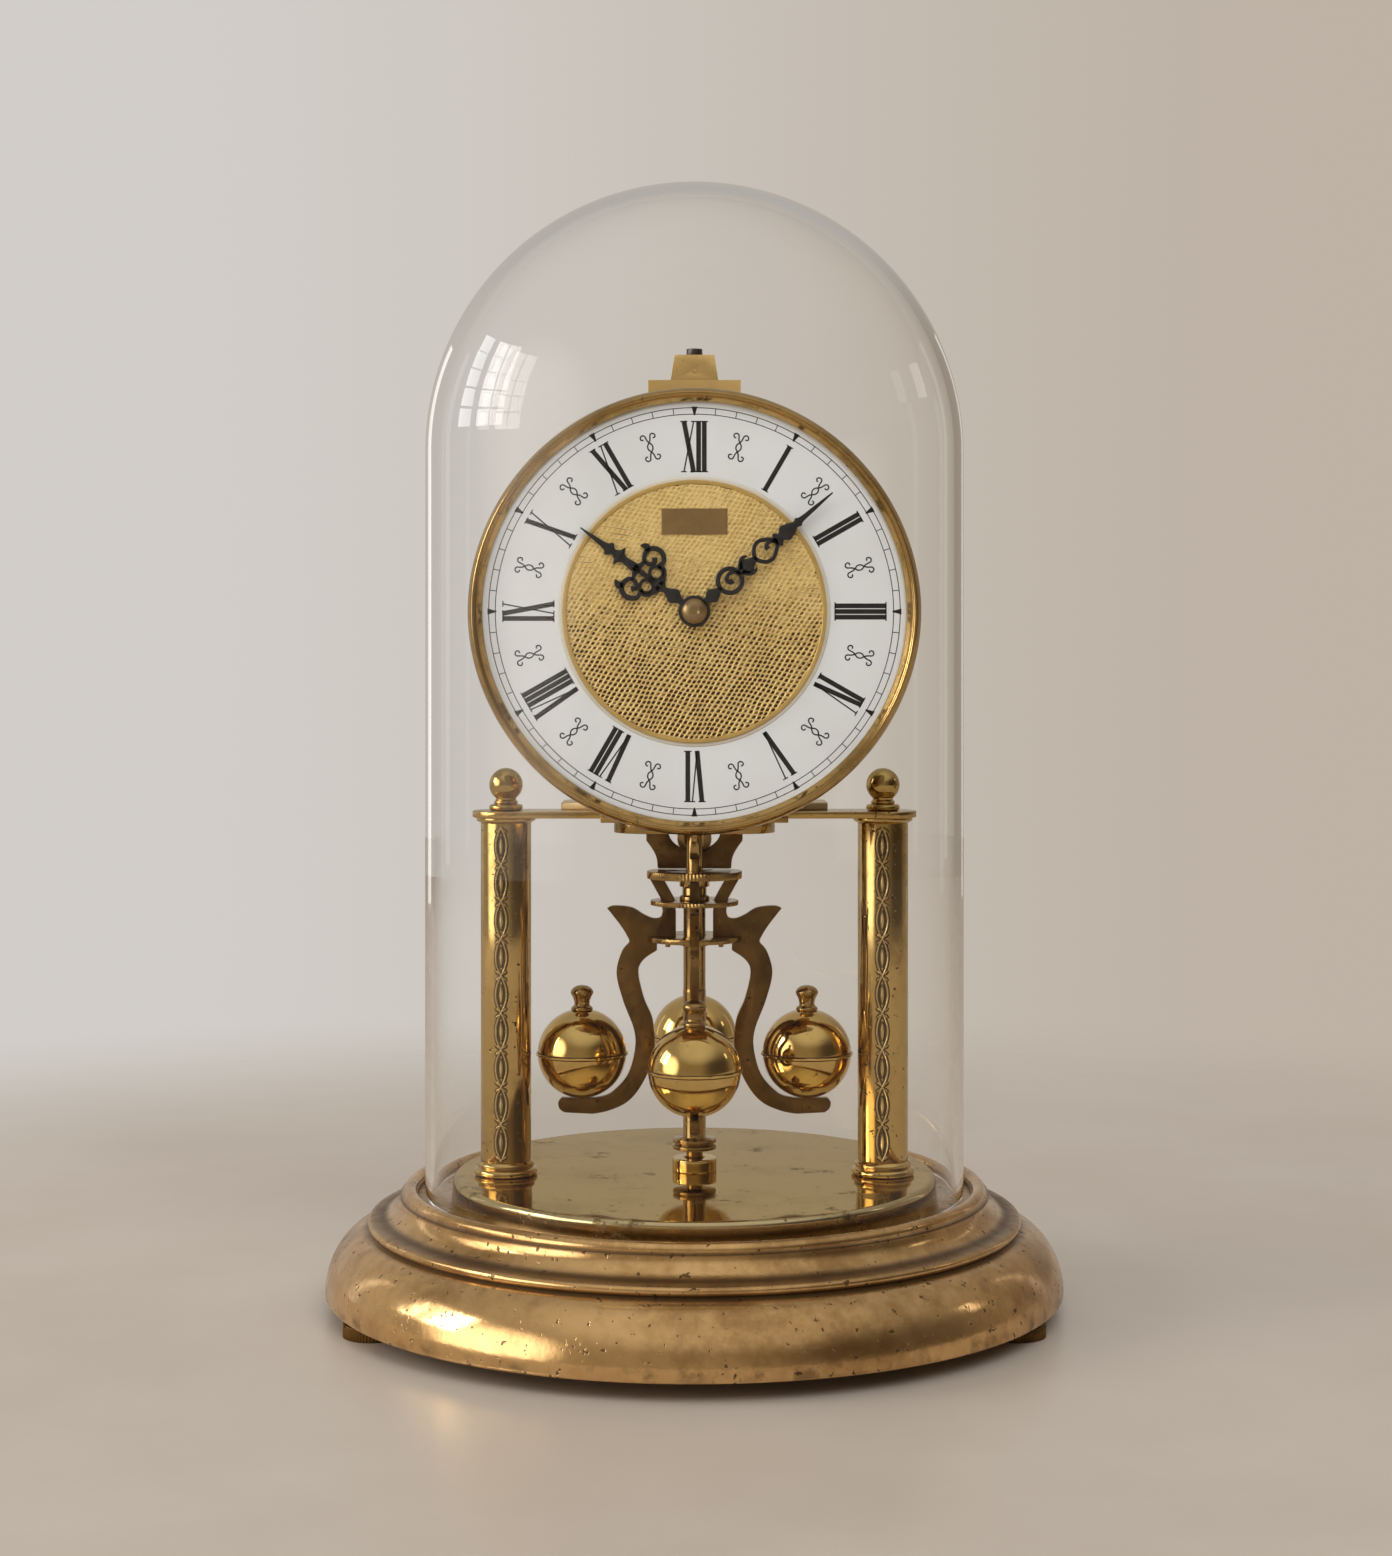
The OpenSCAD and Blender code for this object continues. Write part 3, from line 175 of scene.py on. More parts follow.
# %% Brass finishes
def brass(name, bright, dark, roughness, tarnish=0.3, specks=0.3, hairlines=0.015, metallic=1.0):
    """Two colours and a roughness, then the weights of the three marks and the share of bare metal."""
    finish, shader, place = new_finish(name, metallic)
    patches = noise(place, 55, 6.0, 0.62) + (noise(place, 420, 3.0) - 0.5) * 0.3
    brown = ramped(patches, 0.40, 0.78) * tarnish
    speck = ramped(noise(place, 760, 1.0, 0.4), 0.69, 0.76) * specks
    hair = noise(stretched(place, (2600, 2600, 160)), 1.0, 2.0)
    colour = mixed(brown, rgb(*bright), rgb(*dark))
    mixed(speck, colour, rgb(*[0.3 * part for part in dark])).into(shader, "Base Color")
    gloss = roughness + brown * 0.22 + speck * 0.35 + (hair - 0.5) * hairlines * 2.0
    gloss.into(shader, "Roughness")
    bumped(hair * hairlines - speck * 0.6 + patches * 0.08, 0.25, 0.3).into(shader, "Normal")
    return finish


polished_brass = brass("polished brass", (0.70, 0.475, 0.165), (0.36, 0.205, 0.055),
                       roughness=0.07, tarnish=0.30, specks=0.25, hairlines=0.02)
finial_brass = brass("finial brass", (0.51, 0.345, 0.118), (0.20, 0.115, 0.034),
                     roughness=0.08, tarnish=0.5, specks=0.6)
aged_brass = brass("aged brass", (0.56, 0.37, 0.13), (0.20, 0.11, 0.034),
                   roughness=0.18, tarnish=0.6, specks=0.8)
pillar_brass = brass("pillar brass", (0.60, 0.41, 0.15), (0.22, 0.125, 0.036),
                     roughness=0.09, tarnish=0.55, specks=1.0)
# Brown patina of the arms and the guard; on the levelling feet it also stands in for shade under the base.
brown_and_shade_brass = brass("brown arm brass, painted shade on the feet", (0.20, 0.107, 0.029), (0.055, 0.027, 0.009),
                   roughness=0.28, tarnish=1.0, specks=1.0, hairlines=0.03, metallic=0.85)
bezel_brass = brass("bezel brass", (0.53, 0.345, 0.13), (0.20, 0.115, 0.038),
                    roughness=0.10, tarnish=0.65, specks=0.6, hairlines=0.0)
plate_brass = brass("movement plate brass", (0.66, 0.44, 0.165), (0.34, 0.20, 0.07),
                    roughness=0.28, tarnish=0.4, specks=0.3, hairlines=0.02, metallic=0.55)
seat_brass = brass("pale seat brass", (0.62, 0.48, 0.27), (0.40, 0.29, 0.14),
                   roughness=0.30, tarnish=0.5, specks=0.3, hairlines=0.02, metallic=0.6)
disc_brass = brass("brown disc brass", (0.42, 0.27, 0.10), (0.16, 0.09, 0.032),
                   roughness=0.14, tarnish=0.7, specks=0.6)
chain_brass = brass("brass of the chain", (0.68, 0.50, 0.23), (0.38, 0.25, 0.095),
                    roughness=0.22, tarnish=0.5, specks=0.2, hairlines=0.01, metallic=0.72)
# Painted shade beside the chain's strands; the same dark brass makes the seams of the balls.
strand_shade_and_seam_brass = brass("painted shade by the chain and seams of the balls", (0.085, 0.052, 0.019), (0.04, 0.023, 0.009),
                     roughness=0.45, tarnish=0.8, specks=0.4, hairlines=0.01, metallic=0.6)
print("brass finishes:", [m.name for m in bpy.data.materials if "brass" in m.name])

# %% [markdown]
# The spun base and the mirror deck. The base was spun over a former, so its marks run round it, and it is
# darker in its two grooves, at the foot of the lip and along its lower edge. The height of a point says how
# far it lies from these places, so this darkening needs no texture. The deck is nearly a mirror with a few
# hazy fingerprints, and its rim and side wall, in the crease by the base's lip, carry painted shade.


# %% Finishes of the base and the deck
def near(height, middle, width):
    """One at a height in millimetres, fading to zero over a width."""
    away = height - middle * MM
    away = away.maths("ABSOLUTE", away)
    return 1.0 - ramped(away, 0.0, width * MM)


def spun_finish():
    finish, shader, place = new_finish("spun brass of the base", metallic=0.86)
    height = along_axis(place, 2)
    patches = noise(place, 26, 7.0, 0.62)
    fine = noise(place, 240, 4.0, 0.6)
    grooves = near(height, 22.9, 1.2) + near(height, 26.0, 1.1) + near(height, 31.4, 0.8)
    low_edge = near(height, 6.6, 3.2) * ramped(noise(place, 130, 5.0), 0.50, 0.64)
    pits = ramped(noise(place, 470, 2.0, 0.5), 0.67, 0.70)
    scuffs = ramped(noise(stretched(place, (130, 130, 900)), 1.0, 4.0, 0.7), 0.62, 0.78)
    scratches = ramped(noise(stretched(place, (900, 160, 420)), 1.0, 2.0), 0.70, 0.74)
    dents = noise(place, 120, 3.0)
    brown = ramped(patches + (fine - 0.5) * 0.35, 0.36, 0.74)
    # Darker by height at the grooves, the foot of the lip and the lower edge; pits and scratches are marks.
    darkening = grooves * 0.85 + low_edge * 0.55 + pits * 0.8 + scratches * 0.35
    darkening = darkening.maths("MINIMUM", darkening, 0.92)
    colour = mixed(brown, rgb(0.67, 0.42, 0.18), rgb(0.33, 0.18, 0.064))
    colour = mixed(scuffs * 0.4, colour, rgb(0.70, 0.50, 0.25))
    mixed(darkening, colour, rgb(0.075, 0.043, 0.022)).into(shader, "Base Color")
    gloss = 0.115 + brown * 0.11 + darkening * 0.3 + (fine - 0.5) * 0.10 + scuffs * 0.06
    gloss.into(shader, "Roughness")
    relief = fine * 0.10 + patches * 0.6 + dents * 0.12 - pits * 0.6 - scratches * 0.15
    bumped(relief, 0.34, 0.8).into(shader, "Normal")
    return finish


def deck_finish():
    finish, shader, place = new_finish("mirror brass of the deck", metallic=1.0)
    shader.inputs["Specular Tint"].default_value = rgb(0.70, 0.62, 0.50)
    out = distance(stretched(place, (1, 1, 0)))
    haze = ramped(noise(place, 34, 6.0, 0.65), 0.45, 0.75)
    marks = ramped(noise(place, 75, 6.0, 0.72), 0.58, 0.66)
    specks = ramped(noise(place, 620, 1.0), 0.70, 0.75)
    scratches = ramped(noise(stretched(place, (30, 700, 30)), 1.0, 3.0), 0.66, 0.72)
    # The outer rim and the side wall, in the crease beside the base's lip, are darkened: painted shade.
    rim = ramped(out + (noise(place, 90, 4.0) - 0.5) * (3.0 * MM), 65.2 * MM, 66.8 * MM)
    darkening = specks * 0.6 + marks * 0.6 + scratches * 0.25 + rim * 0.28
    darkening = darkening.maths("MINIMUM", darkening, 0.9)
    colour = mixed(haze * 0.7, rgb(0.80, 0.65, 0.37), rgb(0.56, 0.43, 0.22))
    mixed(darkening, colour, rgb(0.13, 0.08, 0.03)).into(shader, "Base Color")
    (0.05 + haze * 0.09 + marks * 0.12 + darkening * 0.25).into(shader, "Roughness")
    bumped(haze * 0.3 - specks * 0.4, 0.08, 0.3).into(shader, "Normal")
    return finish


spun_brass = spun_finish()
deck_brass = deck_finish()
print("base and deck finishes are made")

# %% [markdown]
# Glass. A dome of clear glass bends the light that the eye sees through it, but it should not black out the
# clock inside. The shader therefore mixes real glass with plain transparency, and gives the transparent
# part to the rays that only carry light, shadow and reflections of the room. The edges of a dome look a
# little brown, because the eye looks along the wall there, so the tint follows how far the glass turns
# away.


# %% Glass finish
def handed_over(share, finish, shader, other):
    """Lets another shader take over from a finish by a share."""
    own = Wire(finish.node_tree, shader.outputs["BSDF"])
    both = share.node("ShaderNodeMixShader", {}, {0: share, 1: own, 2: other})
    both.into(finish.node_tree.nodes["Material Output"], "Surface")


def glass_finish():
    finish, shader, place = new_finish("clear dome glass")
    facing = place.node("ShaderNodeLayerWeight", {}, {"Blend": 0.5}, output="Facing")
    tint = mixed(ramped(facing, 0.74, 0.90), rgb(0.985, 0.985, 0.98), rgb(0.84, 0.79, 0.72))
    mixed(ramped(facing, 0.90, 0.985), tint, rgb(0.46, 0.37, 0.27)).into(shader, "Base Color")
    shader.inputs["Roughness"].default_value = 0.0
    shader.inputs["IOR"].default_value = 1.31
    shader.inputs["Transmission Weight"].default_value = 1.0
    shader.inputs["Specular Tint"].default_value = rgb(0.42, 0.40, 0.38)
    path = place.node("ShaderNodeLightPath", {}, {}, output="Is Shadow Ray")
    light_only = path.maths("MAXIMUM", path, path.beside("Is Diffuse Ray"))
    light_only = path.maths("MAXIMUM", light_only, path.beside("Is Reflection Ray"))
    clear = place.node("ShaderNodeBsdfTransparent", {}, {"Color": rgb(0.975, 0.975, 0.97)})
    handed_over(light_only, finish, shader, clear)
    return finish


dome_glass = glass_finish()
print("glass finish:", dome_glass.name)

# %% [markdown]
# Steel, paint, enamel and ink. The screws and the ribbon spring are blued or plain steel. The hands are
# painted black, the dial is white enamel, and its figures are printed in black. The gilt of its centre gets
# a painted highlight on the ridges and painted shade in the pits, so that finish reads how deep a spot lies.


# %% Finishes of the small pieces and of the dial
def plain_finish(name, first, second, roughness, metallic=0.0, scale=200.0, relief=0.05):
    finish, shader, place = new_finish(name, metallic)
    patches = noise(place, scale, 5.0, 0.6)
    mixed(ramped(patches, 0.35, 0.75), rgb(*first), rgb(*second)).into(shader, "Base Color")
    (roughness + (patches - 0.5) * 0.2).into(shader, "Roughness")
    bumped(noise(place, 1500, 3.0), relief, 0.2).into(shader, "Normal")
    return finish


steel = plain_finish("turned steel", (0.52, 0.52, 0.53), (0.36, 0.36, 0.37),
                     roughness=0.25, metallic=1.0)
blued_steel = plain_finish("dark blued steel", (0.10, 0.085, 0.075), (0.05, 0.045, 0.045),
                           roughness=0.35, metallic=1.0, scale=400)
black_paint = plain_finish("black hand paint", (0.012, 0.012, 0.014), (0.022, 0.020, 0.020),
                           roughness=0.36, metallic=0.0, scale=700)
enamel = plain_finish("white enamel", (0.79, 0.82, 0.855), (0.75, 0.775, 0.80),
                      roughness=0.34, metallic=0.0, scale=40, relief=0.02)
cream = plain_finish("cream edge of the dial", (0.70, 0.665, 0.58), (0.62, 0.57, 0.47),
                     roughness=0.4, metallic=0.0, scale=60)
ink = plain_finish("printing ink", (0.010, 0.010, 0.011), (0.018, 0.017, 0.016),
                   roughness=0.5, metallic=0.0, scale=500, relief=0.02)
gilt_ground = brass("edge of the gilt disc", (0.62, 0.42, 0.14), (0.40, 0.25, 0.075),
                    roughness=0.30, tarnish=0.6, specks=0.2, hairlines=0.04, metallic=0.4)
plate_finish = brass("bare plate on the dial", (0.25, 0.155, 0.058), (0.17, 0.10, 0.036),
                     roughness=0.34, tarnish=0.7, specks=0.1, hairlines=0.12, metallic=0.25)
nut_brass = brass("brown nut brass", (0.34, 0.235, 0.115), (0.19, 0.12, 0.052),
                  roughness=0.36, tarnish=0.5, specks=0.3, hairlines=0.06, metallic=0.8)


def gilt_finish(ridge, pit):
    """Painted highlight on ridges, painted shade in pits, by how far a spot lies behind the disc's front."""
    finish, shader, place = new_finish("embossed gilt", metallic=0.4)
    depth = along_axis(place, 1) + (noise(place, 800, 2.0) - 0.5) * (0.16 * MM)
    ridge_highlight_fade = ramped(depth, ridge * MM, (ridge + 0.10) * MM)
    deep = ramped(depth, (ridge + 0.04) * MM, (pit + 0.03) * MM)
    worn = ramped(noise(place, 90, 4.0), 0.35, 0.7)
    # Painted highlight on the ridges; painted shade in the pits.
    colour = mixed(ridge_highlight_fade, rgb(1.0, 0.76, 0.34), mixed(worn, rgb(0.92, 0.66, 0.25), rgb(0.74, 0.49, 0.155)))
    mixed(deep, colour, rgb(0.085, 0.045, 0.013)).into(shader, "Base Color")
    (0.24 + deep * 0.3).into(shader, "Roughness")
    bumped(noise(place, 1600, 3.0), 0.3, 0.2).into(shader, "Normal")
    return finish


print("finishes in all:", len(bpy.data.materials))

# %% [markdown]
# Turning. Most of this clock came off a lathe, so one helper turns a profile of radii and heights round an
# axis. A screw modifier would do the same, but plain code keeps the seam and the poles closed, and the
# points of the profile stay readable. Sharp corners of a profile are eased first, as filing and polishing
# leave them.


# %% Helpers that turn a profile
def arc(centre, across, along, start, end, steps):
    points = []
    for i in range(steps + 1):
        angle = math.radians(start + (end - start) * i / steps)
        points.append((centre[0] + across * math.cos(angle), centre[1] + along * math.sin(angle)))
    return points


def hoop(inner, low, outer, high):
    """The profile of a plain ring or, with no inner radius, of a plain rod."""
    return [(inner, low), (outer, low), (outer, high), (inner, high)]


def on_ring(radius, angle, height):
    """A spot at an angle round the clock's own axis."""
    angle = math.radians(angle)
    return radius * math.cos(angle), radius * math.sin(angle), height


def eased(points, radius, closed=False, steps=3):
    """Rounds the corners of an outline with short curves."""
    made = []
    count = len(points)
    for i, point in enumerate(points):
        if not closed and i in (0, count - 1):
            made.append(point)
            continue
        here = Vector(point)
        before = Vector(points[i - 1]) - here
        after = Vector(points[(i + 1) % count]) - here
        start = here + before.normalized() * min(radius, before.length * 0.45)
        end = here + after.normalized() * min(radius, after.length * 0.45)
        for k in range(steps + 1):
            t = k / steps
            spot = start * (1 - t) ** 2 + here * 2 * t * (1 - t) + end * t ** 2
            made.append((spot.x, spot.y))
    return made


def turn(form, profile, at=(0, 0, 0), steps=96, to_front=False, closed=False):
    """Turns a profile round an upright axis, or round one that points to the front."""
    rings = []
    for radius, height in profile:
        ring = []
        for i in range(steps if radius > 1e-6 else 1):
            angle = 2 * math.pi * i / steps
            x, y, z = radius * math.cos(angle), radius * math.sin(angle), height
            if to_front:
                y, z = -z, y
            ring.append(form.verts.new(Vector((at[0] + x, at[1] + y, at[2] + z)) * MM))
        rings.append(ring)
    pairs = list(zip(rings, rings[1:]))
    if closed:
        pairs.append((rings[-1], rings[0]))
    for low, high in pairs:
        for i in range(steps):
            corners = [low[i % len(low)], low[(i + 1) % steps % len(low)],
                       high[(i + 1) % steps % len(high)], high[i % len(high)]]
            corners = list(dict.fromkeys(corners))
            if len(corners) > 2:
                form.faces.new(corners)


def to_mesh(form, name, sharp=35.0):
    """Turns the faces outwards, shades them smooth and keeps the sharp edges."""
    bmesh.ops.recalc_face_normals(form, faces=form.faces)
    mesh = bpy.data.meshes.new(name)
    form.to_mesh(mesh)
    form.free()
    mesh.shade_smooth()
    mesh.set_sharp_from_angle(angle=math.radians(sharp))
    return mesh


def put(name, data):
    made = bpy.data.objects.new(name, data)
    bpy.context.scene.collection.objects.link(made)
    return made


def add_piece(name, mesh, finish, nodes=(), body="frame"):
    """Puts a finished mesh into the scene, on its body and in place of its nodes."""
    if finish is not None:
        mesh.materials.clear()
        mesh.materials.append(finish)
    piece = put(name, mesh)
    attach(piece, body_of_node[nodes[0]] if nodes else body)
    if nodes:
        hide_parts(*nodes)
    return piece


def turned_piece(name, profile, finish, nodes=(), slot="polished_brass", sharp=35.0, **turning):
    """Turns one profile into a piece of its own."""
    form = bmesh.new()
    turn(form, profile, **turning)
    return add_piece(name, to_mesh(form, name, sharp), finish, nodes)


print("turning helpers are ready")

# %% [markdown]
# Base. The real one is spun from thin sheet: a swelling bulge, a bead between two grooves, a cove, and a
# lip that keeps the dome in its groove. The same arcs as in the construction are turned with many more
# steps.

# %% Base shell
BASE_R = 102.3
SHEET = 1.2
SEAT_Z = 31.0
BASE_RISE = 5.0
BULGE = (87.8, 6.0)
BULGE_W, BULGE_H = 14.5, 16.8
BEAD = (89.42, 24.2)
COVE_TOP = (89.42, 31.6)
COVE_W, COVE_H = 7.62, 6.0
LIP_IN = 77.0
FLOOR_IN = 62.0
FLANGE_IN, FLANGE_OUT = 86.3, 101.3
FOOT_RING = 93.3
FOOT_ANGLES = (204, 336, 90)
BOSS_IN, BOSS_R, BOSS_H = 3.05, 5, 8
outer = arc((BASE_R - 0.55, BASE_RISE + 0.55), 0.55, 0.55, -130, 25, 10)
outer += arc(BULGE, BULGE_W, BULGE_H, 1.6, 80, 40) + arc(BEAD, 1.3, 1.3, -70, 70, 12)
outer += arc(COVE_TOP, -COVE_W, -COVE_H, 85, 0, 24)
outer += arc((LIP_IN + 2, SEAT_Z + 1), 2, 2, 0, 180, 20) + [(LIP_IN, SEAT_Z), (FLOOR_IN, SEAT_Z)]
inner = [(FLOOR_IN, SEAT_Z - SHEET), (LIP_IN + 2, SEAT_Z - SHEET)]
inner += arc(COVE_TOP, -COVE_W - SHEET, -COVE_H - SHEET, 22, 75, 10)
inner += arc(BULGE, BULGE_W - SHEET, BULGE_H - SHEET, 80, -3.7, 24)
form = bmesh.new()
turn(form, outer + inner, steps=200, closed=True)
turn(form, hoop(FLANGE_IN, BASE_RISE, FLANGE_OUT, BASE_RISE + SHEET), steps=120, closed=True)
for angle in FOOT_ANGLES:
    boss = eased(hoop(BOSS_IN, 0, BOSS_R, BOSS_H), 0.3, True)
    turn(form, boss, on_ring(FOOT_RING, angle, BASE_RISE), 32, closed=True)
add_piece("base_shell_spun", to_mesh(form, "base shell"), spun_brass, ["base_shell"])
print("base shell is", round(2 * BASE_R), "mm wide")

# %% [markdown]
# Deck and guide cup. The deck is a shallow pan turned upside down, polished like a mirror. The cup at its
# middle keeps the pendulum's pin from swinging sideways when the clock is carried.

# %% Deck and guide cup
DECK_R = 67.3
DECK_Z = 36.6
pan = [(0, DECK_Z - SHEET), (DECK_R - SHEET, DECK_Z - SHEET), (DECK_R - SHEET, SEAT_Z), (DECK_R, SEAT_Z)]
pan += arc((DECK_R - 1.5, DECK_Z - 1.5), 1.5, 1.5, 0, 90, 12) + [(0, DECK_Z)]
turned_piece("deck_plate_mirror", pan, deck_brass, ["deck_plate"], steps=180)
cup = [(0, -2.2), (2.5, -2.2), (2.5, 0), (6.2, 0), (6.2, 3.6), (2.9, 3.6), (2.9, 1), (0, 1)]
turned_piece("guide_cup_turned", eased(cup, 0.35), polished_brass, ["guide_cup"], at=(0, 0, DECK_Z), steps=72)
print("deck top is at", DECK_Z, "mm")

# %% [markdown]
# Dome. Blown glass with a round top and a fire-polished rim. Outside and inside are one closed wall,
# because the light has to bend twice, on the way in and on the way out.

# %% Glass dome
DOME_R = 75.0
WALL = 2.5
DOME_SHOULDER = 237.0
DOME_LEVELS = (200, 150, 100, 60, 40)
wall = arc((0, DOME_SHOULDER), DOME_R, DOME_R, 90, 0, 40)
wall += [(DOME_R, z) for z in DOME_LEVELS]
wall += arc((DOME_R - WALL / 2, SEAT_Z + WALL / 2), WALL / 2, WALL / 2, 0, -180, 12)
wall += [(DOME_R - WALL, z) for z in reversed(DOME_LEVELS)]
wall += arc((0, DOME_SHOULDER), DOME_R - WALL, DOME_R - WALL, 0, 90, 40)
turned_piece("glass_dome_blown", wall, dome_glass, ["glass_dome"], sharp=60, steps=192)
print("dome top is at", DOME_SHOULDER + DOME_R, "mm")

# %% [markdown]
# Pillars. Each is a tube between a turned foot and a turned head, with a ball finial above the platform.
# They are lathe work too, and the pressed chain on the tubes follows further down.

# %% Pillars, rings and finials
PILLAR_R = 7.0
PILLAR_X = 52.402
PILLAR_Y = -5.0
BORE = 2.05
FOOT_H, HEAD_H = 4, 1.5
TUBE_H = 93.6
PLATFORM_Z = 135.7
PLATFORM_TOP = 137.5
SIDES = ((-1, "left"), (1, "right"))
foot_ring = [(BORE, 0)] + arc((PILLAR_R + 0.8, 1), 1, 1, -90, 60, 10)
foot_ring += [(PILLAR_R + 0.6, 2.2), (PILLAR_R + 0.9, 2.6), (PILLAR_R + 0.9, 3.2), (PILLAR_R + 0.2, FOOT_H),
              (BORE, FOOT_H)]
head_ring = [(BORE, 0), (PILLAR_R + 0.2, 0), (PILLAR_R + 1.2, 0.6), (PILLAR_R + 1.2, HEAD_H), (BORE, HEAD_H)]
tube = [(PILLAR_R, 0), (PILLAR_R, TUBE_H), (PILLAR_R - 1, TUBE_H), (PILLAR_R - 1, 0)]
finial = [(0, 6.5), (BORE, 6.5), (BORE, 0)] + arc((3.8, 0.9), 0.9, 0.9, -90, 90, 12)
finial += arc((3.0, 2.3), 0.35, 0.4, -70, 70, 8) + [(2.8, 3.1)] + arc((0, 7.15), 4.65, 4.65, -52, 90, 28)
both_rings = bmesh.new()
for side, word in SIDES:
    x = side * PILLAR_X
    turn(both_rings, eased(foot_ring, 0.15, True), (x, PILLAR_Y, DECK_Z), 72, closed=True)
    turn(both_rings, eased(head_ring, 0.2, True), (x, PILLAR_Y, PLATFORM_Z - HEAD_H), 72, closed=True)
    turned_piece("pillar_tube_" + word, eased(tube, 0.2, True), pillar_brass, ["pillar_" + word],
                 at=(x, PILLAR_Y, DECK_Z + FOOT_H), steps=72, closed=True)
    turned_piece("finial_ball_" + word, finial, finial_brass, ["finial_" + word],
                 at=(x, PILLAR_Y, PLATFORM_TOP), steps=64)
add_piece("pillar_rings_turned", to_mesh(both_rings, "pillar rings"), pillar_brass, ["pillar_rings"])
print("pillars stand", round(2 * PILLAR_X, 1), "mm apart")

# %% [markdown]
# Repeats. The chain on a pillar, the minute marks and the ornaments of the dial are all one small shape
# said many times. Copying it in a loop would work, but Geometry Nodes keep the rule and its numbers
# together: one tree sets a shape out along a line, another round an axis. The result is turned into a plain
# mesh at once.


# %% Trees that repeat a shape
def new_tree(name, inputs):
    tree = bpy.data.node_groups.new(name, "GeometryNodeTree")
    tree.interface.new_socket("Geometry", in_out="INPUT", socket_type="NodeSocketGeometry")
    for label, kind in inputs:
        tree.interface.new_socket(label, in_out="INPUT", socket_type="NodeSocket" + kind)
    tree.interface.new_socket("Geometry", in_out="OUTPUT", socket_type="NodeSocketGeometry")
    return tree, tree.nodes.new("NodeGroupInput").outputs, tree.nodes.new("NodeGroupOutput").inputs


def add_node(tree, kind, links=(), **settings):
    """Adds a geometry node; links are pairs of an input's name or number and a source or a value."""
    made = tree.nodes.new(kind)
    for name, value in settings.items():
        setattr(made, name, value)
    for name, source in links:
        if isinstance(source, bpy.types.NodeSocket):
            tree.links.new(source, made.inputs[name])
        else:
            made.inputs[name].default_value = source
    return made.outputs[0]


def vectors(tree, operation, first, second):
    """Works on two vectors, or on a vector and the number that scales it."""
    links = [(0, first), (3 if operation == "SCALE" else 1, second)]
    return add_node(tree, "ShaderNodeVectorMath", links, operation=operation)


def finish_tree(tree, give, take, geometry):
    real = add_node(tree, "GeometryNodeRealizeInstances", [(0, geometry)])
    painted = add_node(tree, "GeometryNodeSetMaterial", [("Geometry", real), ("Material", give["Finish"])])
    tree.links.new(painted, take[0])
    return tree


def tree_along_line():
    inputs = (("Count", "Int"), ("First place", "Vector"), ("Step", "Vector"), ("Finish", "Material"))
    tree, give, take = new_tree("repeat along a line", inputs)
    shift = vectors(tree, "SCALE", give["Step"], add_node(tree, "GeometryNodeInputIndex"))
    place = vectors(tree, "ADD", give["First place"], shift)
    points = add_node(tree, "GeometryNodePoints", [("Count", give["Count"]), ("Position", place)])
    copies = add_node(tree, "GeometryNodeInstanceOnPoints", [("Points", points), ("Instance", give[0])])
    return finish_tree(tree, give, take, copies)


def tree_round_axis():
    inputs = (("Count", "Int"), ("Turn", "Vector"), ("First turn", "Vector"), ("Centre", "Vector"),
              ("Finish", "Material"))
    tree, give, take = new_tree("repeat round an axis", inputs)
    turned = vectors(tree, "SCALE", give["Turn"], add_node(tree, "GeometryNodeInputIndex"))
    angle = vectors(tree, "ADD", give["First turn"], turned)
    points = add_node(tree, "GeometryNodePoints", [("Count", give["Count"]), ("Position", give["Centre"])])
    links = [("Points", points), ("Instance", give[0]), ("Rotation", angle)]
    return finish_tree(tree, give, take, add_node(tree, "GeometryNodeInstanceOnPoints", links))


def modified(maker, sharp):
    """The plain mesh that a helper's modifier gives, shaded smooth between its sharp edges."""
    bpy.context.view_layer.update()
    ready = maker.evaluated_get(bpy.context.evaluated_depsgraph_get())
    mesh = bpy.data.meshes.new_from_object(ready)
    bpy.data.objects.remove(maker)
    mesh.shade_smooth()
    mesh.set_sharp_from_angle(angle=math.radians(sharp))
    return mesh


def repeated(tree, shape, sharp=35.0, **values):
    """Runs a tree on a shape and gives the result back as a plain mesh."""
    maker = put("maker", shape)
    modifier = maker.modifiers.new("repeat", "NODES")
    modifier.node_group = tree
    for item in tree.interface.items_tree:
        if item.in_out == "INPUT" and item.name in values:
            modifier[item.identifier] = values[item.name]
    return modified(maker, sharp)


along_line = tree_along_line()
round_axis = tree_round_axis()
print("trees:", along_line.name, "and", round_axis.name)

# %% [markdown]
# Chain on the pillars. The tubes carry a pressed chain on their front: two wavy strands cross again and
# again, and each opening holds a pointed leaf. Each strand lies on a wider dark copy, which is painted
# shade beside it. One link is drawn on the round of the tube, then repeated upwards.


# %% Pressed chain
def smooth(points, steps=6, closed=False):
    """A curve that runs through a list of points, each of any length."""
    made = []
    count = len(points)
    spans = count if closed else count - 1
    for i in range(spans):
        if closed:
            four = [points[(i + k) % count] for k in (-1, 0, 1, 2)]
        else:
            four = [points[min(max(i + k, 0), count - 1)] for k in (-1, 0, 1, 2)]
        p, q, r, s = (Vector(point) for point in four)
        for k in range(steps):
            t = k / steps
            made.append(0.5 * (2 * q + (r - p) * t + (2 * p - 5 * q + 4 * r - s) * t ** 2
                               + (3 * q - p - 3 * r + s) * t ** 3))
    if not closed:
        made.append(Vector(points[-1]))
    return made


